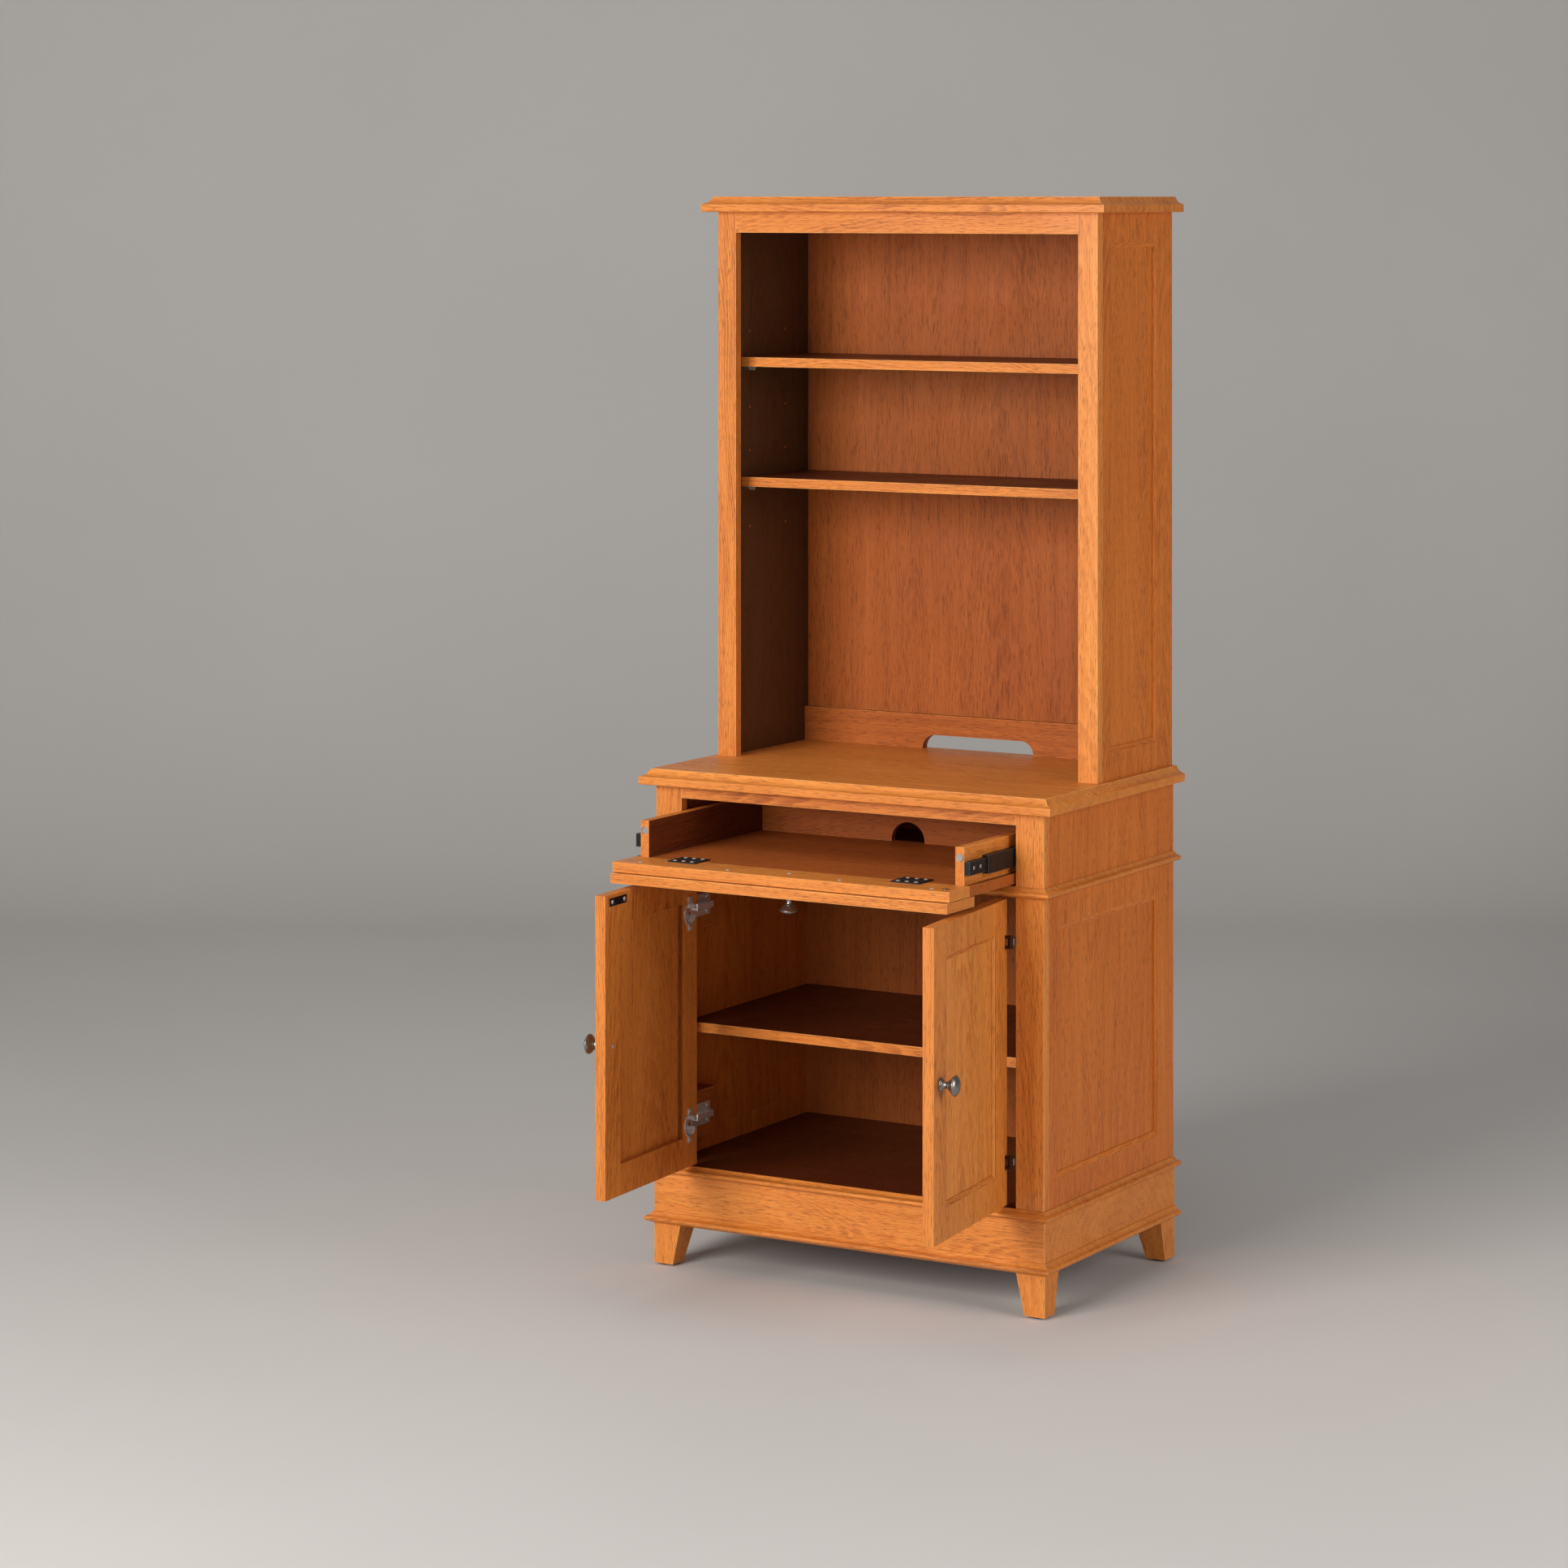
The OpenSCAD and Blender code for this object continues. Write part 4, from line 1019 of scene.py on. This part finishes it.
@dataclass
class Joinery:
    """Dresses CAD boards: eased edges, grain and finish."""

    ease: float = 0.7 * MM
    side_ease: float = 0.45 * MM
    rng: random.Random = field(default_factory=lambda: random.Random(SEED))
    bead: BeadRing = field(default_factory=BeadRing)

    def dress(self, node: str, grain: Grain = Grain.LONGEST, ease: Optional[float] = None,
              inner: Optional[FaceTest] = None, finish: Optional[str] = None,
              bm: Optional[BMesh] = None, place: Optional[Matrix] = None,
              upright_above: float = math.inf) -> None:
        """Eases a node's boards, lays their grain and finishes them.

        Args:
            node: The node's name.
            grain: Its grain direction.
            ease: The width of its eased edges, if not the usual one.
            inner: Which faces get painted shade, darkened for the shade inside the desk.
            finish: The finish, if not that of the node's slot.
            bm: Its boards, if they have been worked on already.
            place: Where the boards go from the position that they are worked in.
            upright_above: The height from which boards have upright grain.
        """
        if bm is None:
            bm = merged_copy(node)
        ease_edges(bm, ease or self.ease)
        lay_grain(bm, grain, self.rng, upright_above)
        if inner:
            mark_faces(bm, "inner", inner)
        if place is not None:
            bm.transform(place)
        finish_piece(bm, node + "_boards", BODY_OF[node], SLOT_OF[node], [node], finish)

    def dress_all(self, batches: Iterable[Batch]) -> None:
        """Dresses every node of some batches.

        Args:
            batches: The batches, in order.
        """
        for batch in batches:
            for node in batch.nodes:
                self.dress(node, batch.grain, batch.ease, batch.inner, batch.finish)

    def framed_side(self, node: str, panel: str, side: Side, level: float) -> None:
        """Saws a framed side into its members at the panel's window, and adds its bead.

        Args:
            node: The side's node.
            panel: The node of its panel.
            side: Which side it is.
            level: The height above which the side is one plain board, or 0 for none.
        """
        low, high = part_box(panel)
        window_low = Vector((0, low.y + SIDE_REBATE, low.z + SIDE_REBATE))
        window_high = Vector((0, high.y - SIDE_REBATE, high.z - SIDE_REBATE))
        panel_face = abs(high.x)
        bm = merged_copy(node)
        outer_face = max(abs(v.co.x) for v in bm.verts)
        done = bmesh.new()
        if level:
            bm, top = halves(bm, 2, level)
            add_to(done, top)
        front, rest = halves(bm, 1, window_low.y)
        rails, rear = halves(rest, 1, window_high.y)
        for part in (front, rails, rear):
            add_to(done, part)
        # The hutch sides take painted shade on the faces towards the middle; the base sides take
        # none.
        self.dress(node, ease=self.side_ease, inner=None if level else facing_middle, bm=done,
                   upright_above=level or math.inf)
        # The ring is made facing forwards, then turned to face its own side
        way = side.value
        corners = sorted((way * window_low.y, way * window_high.y))
        ring = self.bead.mesh(Vector((corners[0], 0, window_low.z)),
                              Vector((corners[1], 0, window_high.z)), -outer_face, -panel_face)
        ring.transform(Matrix.Rotation(way * math.pi / 2, 4, "Z"))
        lay_grain(ring, Grain.LONGEST, self.rng)
        finish_piece(ring, node + "_bead", BODY_OF[node], SLOT_OF[node])


@dataclass
class Carcass:
    """A fixed part of the desk: plain boards between two framed sides."""

    joinery: Joinery
    boards: tuple[Batch, ...]
    side_node: str
    panel_node: str
    plain_above: float = 0

    def build(self) -> None:
        """Dresses every wooden node of the part."""
        self.joinery.dress_all(self.boards)
        for side in Side:
            self.joinery.framed_side(self.side_node + side.name.lower(), self.panel_node, side,
                                     self.plain_above)


@dataclass
class Knob:
    """A turned mushroom knob."""

    radius: float
    length: float

    def profile(self) -> list[tuple[float, float]]:
        """Lays out the turned outline.

        Returns:
            Radius and height pairs, from the foot to the middle of the face.
        """
        r, l = self.radius, self.length
        foot = [(0.0, 0.0), (0.60 * r, 0.0), (0.64 * r, 0.02 * l), (0.64 * r, 0.07 * l),
                (0.58 * r, 0.10 * l)]
        waist = smooth_profile([(0.50 * r, 0.12 * l), (0.37 * r, 0.20 * l), (0.33 * r, 0.33 * l),
                                (0.36 * r, 0.43 * l)], 5)
        collar = smooth_profile([(0.44 * r, 0.45 * l), (0.50 * r, 0.48 * l),
                                 (0.46 * r, 0.51 * l)], 4)
        cup = smooth_profile([(0.50 * r, 0.53 * l), (0.66 * r, 0.60 * l), (0.88 * r, 0.70 * l),
                              (0.985 * r, 0.77 * l), (1.0 * r, 0.80 * l), (0.97 * r, 0.835 * l)], 5)
        face = smooth_profile([(0.91 * r, 0.86 * l), (0.72 * r, 0.925 * l), (0.44 * r, 0.975 * l),
                               (0.2 * r, 0.995 * l), (0.0, l)], 5)
        return foot + waist + collar + cup + face

    def mesh(self, at: Vector, facing: Vector) -> BMesh:
        """Builds the knob with its foot at a point and its face in a direction.

        Args:
            at: The middle of its foot.
            facing: The direction of its face.

        Returns:
            The bmesh, in place.
        """
        bm = lathe(self.profile())
        turn = Vector((0, 0, 1)).rotation_difference(facing).to_matrix().to_4x4()
        bm.transform(Matrix.Translation(at) @ turn)
        return bm


@dataclass
class Door:
    """One of the two framed doors, worked on shut and swung to where it stands."""

    side: Side
    joinery: Joinery
    screws: Screws
    frame_ease: float = 0.6 * MM
    panel_ease: float = 0.3 * MM
    cup_radius: float = 17.5 * MM
    flange_screw_in: float = 4.2 * MM
    strike_screw_in: float = 7 * MM

    @property
    def tag(self) -> str:
        """The side's name, as the nodes end with it."""
        return self.side.name.lower()

    def swing(self) -> Matrix:
        """Works out the move from shut to where the door stands.

        Returns:
            The move.
        """
        joint = JOINTS[f"door_{self.tag}_hinge"]
        shut = math.radians(max(joint["range_deg"], key=abs))
        pivot = Matrix.Translation(Vector(joint["pos_m"]))
        return pivot @ Matrix.Rotation(-shut, 4, Vector(joint["axis"])) @ pivot.inverted()

    def shut_copy(self, node: str) -> BMesh:
        """Copies a node of the door and shuts it.

        Args:
            node: The node's name.

        Returns:
            The bmesh, where it is when the door is shut.
        """
        bm = merged_copy(node)
        bm.transform(self.swing().inverted())
        return bm

    def build(self) -> None:
        """Builds the boards, beads, knob and hardware of the door."""
        open_to = self.swing()
        frame_node, panel_node = f"door_frame_{self.tag}", f"door_panel_{self.tag}"
        panel = self.shut_copy(panel_node)
        low, high = box_of(panel.verts)
        rebate = Vector((DOOR_REBATE, 0, DOOR_REBATE))
        window_low, window_high = low + rebate, high - rebate
        left, rest = halves(self.shut_copy(frame_node), 0, window_low.x)
        rails, right = halves(rest, 0, window_high.x)
        boards = bmesh.new()
        front, back = box_of(left.verts)
        for part in (left, rails, right):
            add_to(boards, part)
        self.joinery.dress(frame_node, Grain.LONGEST, self.frame_ease, bm=boards, place=open_to)
        self.joinery.dress(panel_node, Grain.UPRIGHT, self.panel_ease, bm=panel, place=open_to)
        ring = self.joinery.bead.mesh(window_low, window_high, front.y, low.y)
        lay_grain(ring, Grain.LONGEST, self.joinery.rng)
        ring.transform(open_to)
        finish_piece(ring, f"door_bead_{self.tag}", f"door_{self.tag}", "oak")
        self.knob(open_to, back.y)
        self.place_screws(open_to)

    def screw(self, open_to: Matrix, x: float, y: float, z: float) -> None:
        """Notes a screw that faces into the cabinet when the door is shut."""
        self.screws.put(f"door_{self.tag}", open_to @ Vector((x, y, z)),
                        open_to.to_3x3() @ Vector((0, 1, 0)))

    def place_screws(self, open_to: Matrix) -> None:
        """Notes the screws of the hinge cups and of the strike.

        Args:
            open_to: The move from shut to where the door stands.
        """
        for node in (f"hinge_cups_{self.tag}", f"strike_{self.tag}"):
            cad = self.shut_copy(node)
            for group in islands(cad):
                low, high = box_of(group)
                middle_z = (low.z + high.z) / 2
                if node.startswith("hinge"):
                    free_end = low.x if self.side is Side.RIGHT else high.x
                    middle_x = free_end + self.side.value * self.cup_radius
                    reach = (high.z - low.z) / 2 - self.flange_screw_in
                    spots = [(middle_x, middle_z - reach), (middle_x, middle_z + reach)]
                else:
                    spots = [(low.x + self.strike_screw_in, middle_z),
                             (high.x - self.strike_screw_in, middle_z)]
                for x, z in spots:
                    self.screw(open_to, x, high.y, z)
            cad.free()

    def knob(self, open_to: Matrix, back_y: float) -> None:
        """Builds the knob over the CAD one, and notes its screw inside the door.

        Args:
            open_to: The move from shut to where the door stands.
            back_y: The depth of the door's back face.
        """
        node = f"door_knob_{self.tag}"
        cad = self.shut_copy(node)
        low, high = box_of(cad.verts)
        cad.free()
        x, z = (low.x + high.x) / 2, (low.z + high.z) / 2
        turned = Knob((high.x - low.x) / 2, high.y - low.y)
        bm = turned.mesh(Vector((x, high.y, z)), Vector((0, -1, 0)))
        bm.transform(open_to)
        self.screw(open_to, x, back_y, z)
        finish_piece(bm, f"knob_{self.tag}", f"door_{self.tag}", "pewter", [node], weighted=False)


@dataclass
class KeyboardDrawer:
    """The tray, its box and the drop front."""

    joinery: Joinery
    screws: Screws
    knob_height: float = 20 * MM
    leaf_t: float = 1.8 * MM
    leaf_corner: float = 9 * MM
    barrel_r: float = 3 * MM
    leaf_screw_in: float = 7 * MM
    leaf_screw_step: float = 15 * MM

    def build(self) -> None:
        """Dresses the boards, the front's fixings and the flap hinges."""
        self.joinery.dress_all(DRAWER_BOARDS)
        self.front()
        self.flap_hinges()

    def front(self) -> None:
        """Sorts the fixings of the front: the knob is turned, screw heads become screws."""
        node = "front_hardware"
        cad = merged_copy(node)
        top = box_of(cad.verts)[1].z
        gone = []
        for group in islands(cad):
            low, high = box_of(group)
            x, y = (low.x + high.x) / 2, (low.y + high.y) / 2
            if high.z - low.z > self.knob_height:
                turned = Knob((high.x - low.x) / 2, high.z - low.z)
                bm = turned.mesh(Vector((x, y, high.z)), Vector((0, 0, -1)))
                finish_piece(bm, "drawer_knob_turned", BODY_OF[node], "pewter", weighted=False)
                gone += group
            elif high.z > top - 0.1 * MM:
                self.screws.put(BODY_OF[node], Vector((x, y, low.z)), Vector((0, 0, 1)))
                gone += group
        bmesh.ops.delete(cad, geom=gone, context="VERTS")
        ease_edges(cad, 0.1 * MM)
        finish_piece(cad, "front_fixings", BODY_OF[node], SLOT_OF[node], [node])

    def flap_hinges(self) -> None:
        """Rounds the plates of the flap hinges and notes their screws."""
        for node, way in (("flap_hinge_bases", 1), ("flap_hinge_leaves", -1)):
            bm = merged_copy(node)
            for group in islands(bm):
                low, high = box_of(group)
                far = high.y if way > 0 else low.y
                for step in (-1, 0, 1):
                    at = Vector(((low.x + high.x) / 2 + step * self.leaf_screw_step,
                                 far - way * self.leaf_screw_in,
                                 low.z + self.barrel_r + self.leaf_t))
                    self.screws.put(BODY_OF[node], at, Vector((0, 0, 1)))
            round_corners(bm, self.leaf_corner, 2 * self.leaf_t)
            ease_edges(bm, 0.25 * MM)
            finish_piece(bm, node + "_metal", BODY_OF[node], SLOT_OF[node], [node])


@dataclass
class PlainHardware:
    """Metal and plastic nodes that keep their CAD shape with eased edges."""

    screws: Screws
    nodes: tuple[str, ...] = ("hinge_arms", "hinge_cups_left", "hinge_cups_right", "strike_left",
                              "strike_right", "door_catches", "base_shelf_pins",
                              "hutch_shelf_pins", "drawer_magnets", "slide_cabinet_members",
                              "slide_middle_members", "slide_drawer_members", "foot_glides")
    ease: float = 0.3 * MM
    plate_t: float = 2 * MM
    plate_screw_in: float = 8 * MM
    plate_screw_z: float = 11 * MM
    pivot_reach: float = 16 * MM
    slide_screw_ys: tuple[float, ...] = (14 * MM, 34 * MM, 62 * MM)
    slide_screw_sink: float = 0.7 * MM

    def near_pivot(self, face: Face) -> bool:
        """Tells whether a face lies about the right door's pivots, where the metal is darkened as
        painted shade for the dark gap by the door.
        """
        spot, pivot = face.calc_center_median(), JOINTS["door_right_hinge"]["pos_m"]
        return spot.x >= 0 and math.hypot(spot.x - pivot[0], spot.y - pivot[1]) < self.pivot_reach

    def build(self) -> None:
        """Dresses each node and notes its screws."""
        for node in self.nodes:
            bm = merged_copy(node)
            ease_edges(bm, self.ease)
            # The magnets take the darker metal: painted shade.
            finish = {"drawer_magnets": "magnet"}.get(node)
            if node.startswith("hinge"):
                # The metal about the right door's pivots gets painted shade, hiding it in the dark
                # of the gap.
                mark_faces(bm, "inner", self.near_pivot)
                # The hinges take the paler nickel: painted light.
                finish = "hinge"
            finish_piece(bm, node + "_metal", BODY_OF[node], SLOT_OF[node], [node], finish)
        self.slide_screws("slide_drawer_members")
        self.plate_screws("hinge_arms")

    def slide_screws(self, node: str) -> None:
        """Notes the screws in the outer faces of the drawer's slide members.

        Args:
            node: The members' node.
        """
        members = merged_copy(node)
        low, high = box_of(members.verts)
        members.free()
        for side in Side:
            for step in self.slide_screw_ys:
                at = Vector((side.value * (high.x - self.slide_screw_sink), low.y + step,
                             (low.z + high.z) / 2))
                self.screws.put(BODY_OF[node], at, Vector((side.value, 0, 0)))

    def plate_screws(self, node: str) -> None:
        """Notes the screws in the hinges' plates.

        Args:
            node: The node of the arms and their plates.
        """
        arms = merged_copy(node)
        for group in islands(arms):
            low, high = box_of(group)
            way = -1 if low.x + high.x > 0 else 1
            wall = max(abs(low.x), abs(high.x))
            for step in (-1, 1):
                at = Vector((-way * (wall - self.plate_t), high.y - self.plate_screw_in,
                             (low.z + high.z) / 2 + step * self.plate_screw_z))
                self.screws.put(BODY_OF[node], at, Vector((way, 0, 0)))
        arms.free()


# ---- Studio ----


@dataclass(frozen=True)
class Light:
    """A soft rectangular light that hangs at one point and faces another."""

    name: str
    at: tuple[float, float, float]
    aim: tuple[float, float, float]
    size: tuple[float, float]
    watts: float
    colour: tuple[float, float, float] = WHITE

    def hang(self) -> None:
        """Adds the light to the scene."""
        data = bpy.data.lights.new(self.name, "AREA")
        data.shape, (data.size, data.size_y) = "RECTANGLE", self.size
        data.energy, data.color = self.watts, self.colour
        light = new_object(self.name, data)
        light.location = self.at
        way = Vector(self.aim) - Vector(self.at)
        light.rotation_euler = way.to_track_quat("-Z", "Y").to_euler()


LIGHTS = (
    Light("window", (-0.9, -4.9, 2.2), (0, 0, 0.85), (2.2, 2.4), 222, (1.0, 0.97, 0.93)),
    Light("side_wall", (3.7, -0.4, 1.5), (0.3, 0.1, 0.85), (2.2, 2.2), 55),
    Light("camera_fill", (2.3, -4.7, 1.1), (0.1, 0, 0.5), (1.6, 1.6), 24),
    Light("top", (-0.4, -1.2, 4.2), (0, 0, 0.85), (3.0, 3.0), 32),
)


@dataclass
class Studio:
    """Camera, floor and soft lights."""

    lens: float = 100.686
    shift_y: float = -0.3745
    turn: float = 30.52
    stand: tuple[float, float, float] = (3.2568, -5.7786, 1.63965)
    world_strength: float = 0.16
    floor_half_width: float = 11.0
    floor_front: float = -9.0
    wall_start: float = 3.2
    wall_bend: float = 1.6
    wall_top: float = 7.0
    bend_steps: int = 24

    def camera(self) -> None:
        """Sets up the level camera with a falling front."""
        data = bpy.data.cameras.new("camera")
        data.lens, data.sensor_width, data.shift_y = self.lens, 36.0, self.shift_y
        data.clip_end = 60
        camera = new_object("camera", data)
        camera.location = self.stand
        camera.rotation_euler = (math.radians(90), 0, math.radians(self.turn))
        bpy.context.scene.camera = camera

    def paper(self) -> bpy.types.Material:
        """Builds the floor's pale paper, which is clear when it is seen from behind.

        Returns:
            The material.
        """
        material, tree, shader = start_material("studio_paper")
        cloud = tree.noise(tree.add("TexCoord").outputs["Object"], 1.3, 3.0, 0.5)
        tree.fill(shader, {
            "Base Color": tree.mix("MIX", cloud, (0.60, 0.585, 0.57, 1), (0.66, 0.645, 0.63, 1)),
            "Roughness": 0.85})
        blend = tree.add("MixShader", {0: tree.add("NewGeometry").outputs["Backfacing"],
                                       1: shader.outputs[0],
                                       2: tree.add("BsdfTransparent").outputs[0]})
        tree.link(blend.outputs[0], material.node_tree.get_output_node("ALL").inputs[0])
        return material

    def floor(self) -> None:
        """Lays a wide pale floor that curves up behind the desk."""
        bm = bmesh.new()
        wall, bend = self.wall_start, self.wall_bend
        turns = [math.pi / 2 * i / self.bend_steps for i in range(1, self.bend_steps + 1)]
        section = [(self.floor_front, 0.0), (wall, 0.0)]
        section += [(wall + bend * math.sin(t), bend * (1 - math.cos(t))) for t in turns]
        section.append((wall + bend, self.wall_top))
        rows = [[bm.verts.new((x, y, z)) for y, z in section]
                for x in (-self.floor_half_width, self.floor_half_width)]
        for i in range(len(section) - 1):
            bm.faces.new((rows[0][i], rows[1][i], rows[1][i + 1], rows[0][i + 1]))
        mesh = bpy.data.meshes.new("studio_floor")
        bm.to_mesh(mesh)
        bm.free()
        mesh.shade_smooth()
        mesh.materials.append(self.paper())
        floor = new_object("studio_floor", mesh)
        floor.rotation_euler = (0, 0, math.radians(self.turn))

    def build(self) -> None:
        """Sets up the whole studio."""
        self.camera()
        self.floor()
        for light in LIGHTS:
            light.hang()
        world = bpy.data.worlds.new("studio")
        world.use_nodes = True
        background = world.node_tree.nodes["Background"]
        background.inputs[0].default_value = (*WHITE, 1.0)
        background.inputs[1].default_value = self.world_strength
        bpy.context.scene.world = world
        bpy.context.scene.view_settings.view_transform = "Standard"
        bpy.context.scene.view_settings.look = "None"


def main() -> None:
    """Builds the desk in order, from the camera to the last screw."""
    logging.basicConfig(level=logging.INFO, format="%(name)s: %(message)s")
    Studio().build()
    joinery = Joinery()
    screws = Screws()
    low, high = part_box("waist_rail")
    Carcass(joinery, BASE_BOARDS, "side_frame_", "side_panels", (low.z + high.z) / 2).build()
    Carcass(joinery, HUTCH_BOARDS, "hutch_side_", "hutch_side_panels").build()
    KeyboardDrawer(joinery, screws).build()
    for side in Side:
        Door(side, joinery, screws).build()
    PlainHardware(screws).build()
    screws.build("nickel", "screws")


if __name__ == "__main__":
    main()
    bpy.context.view_layer.update()
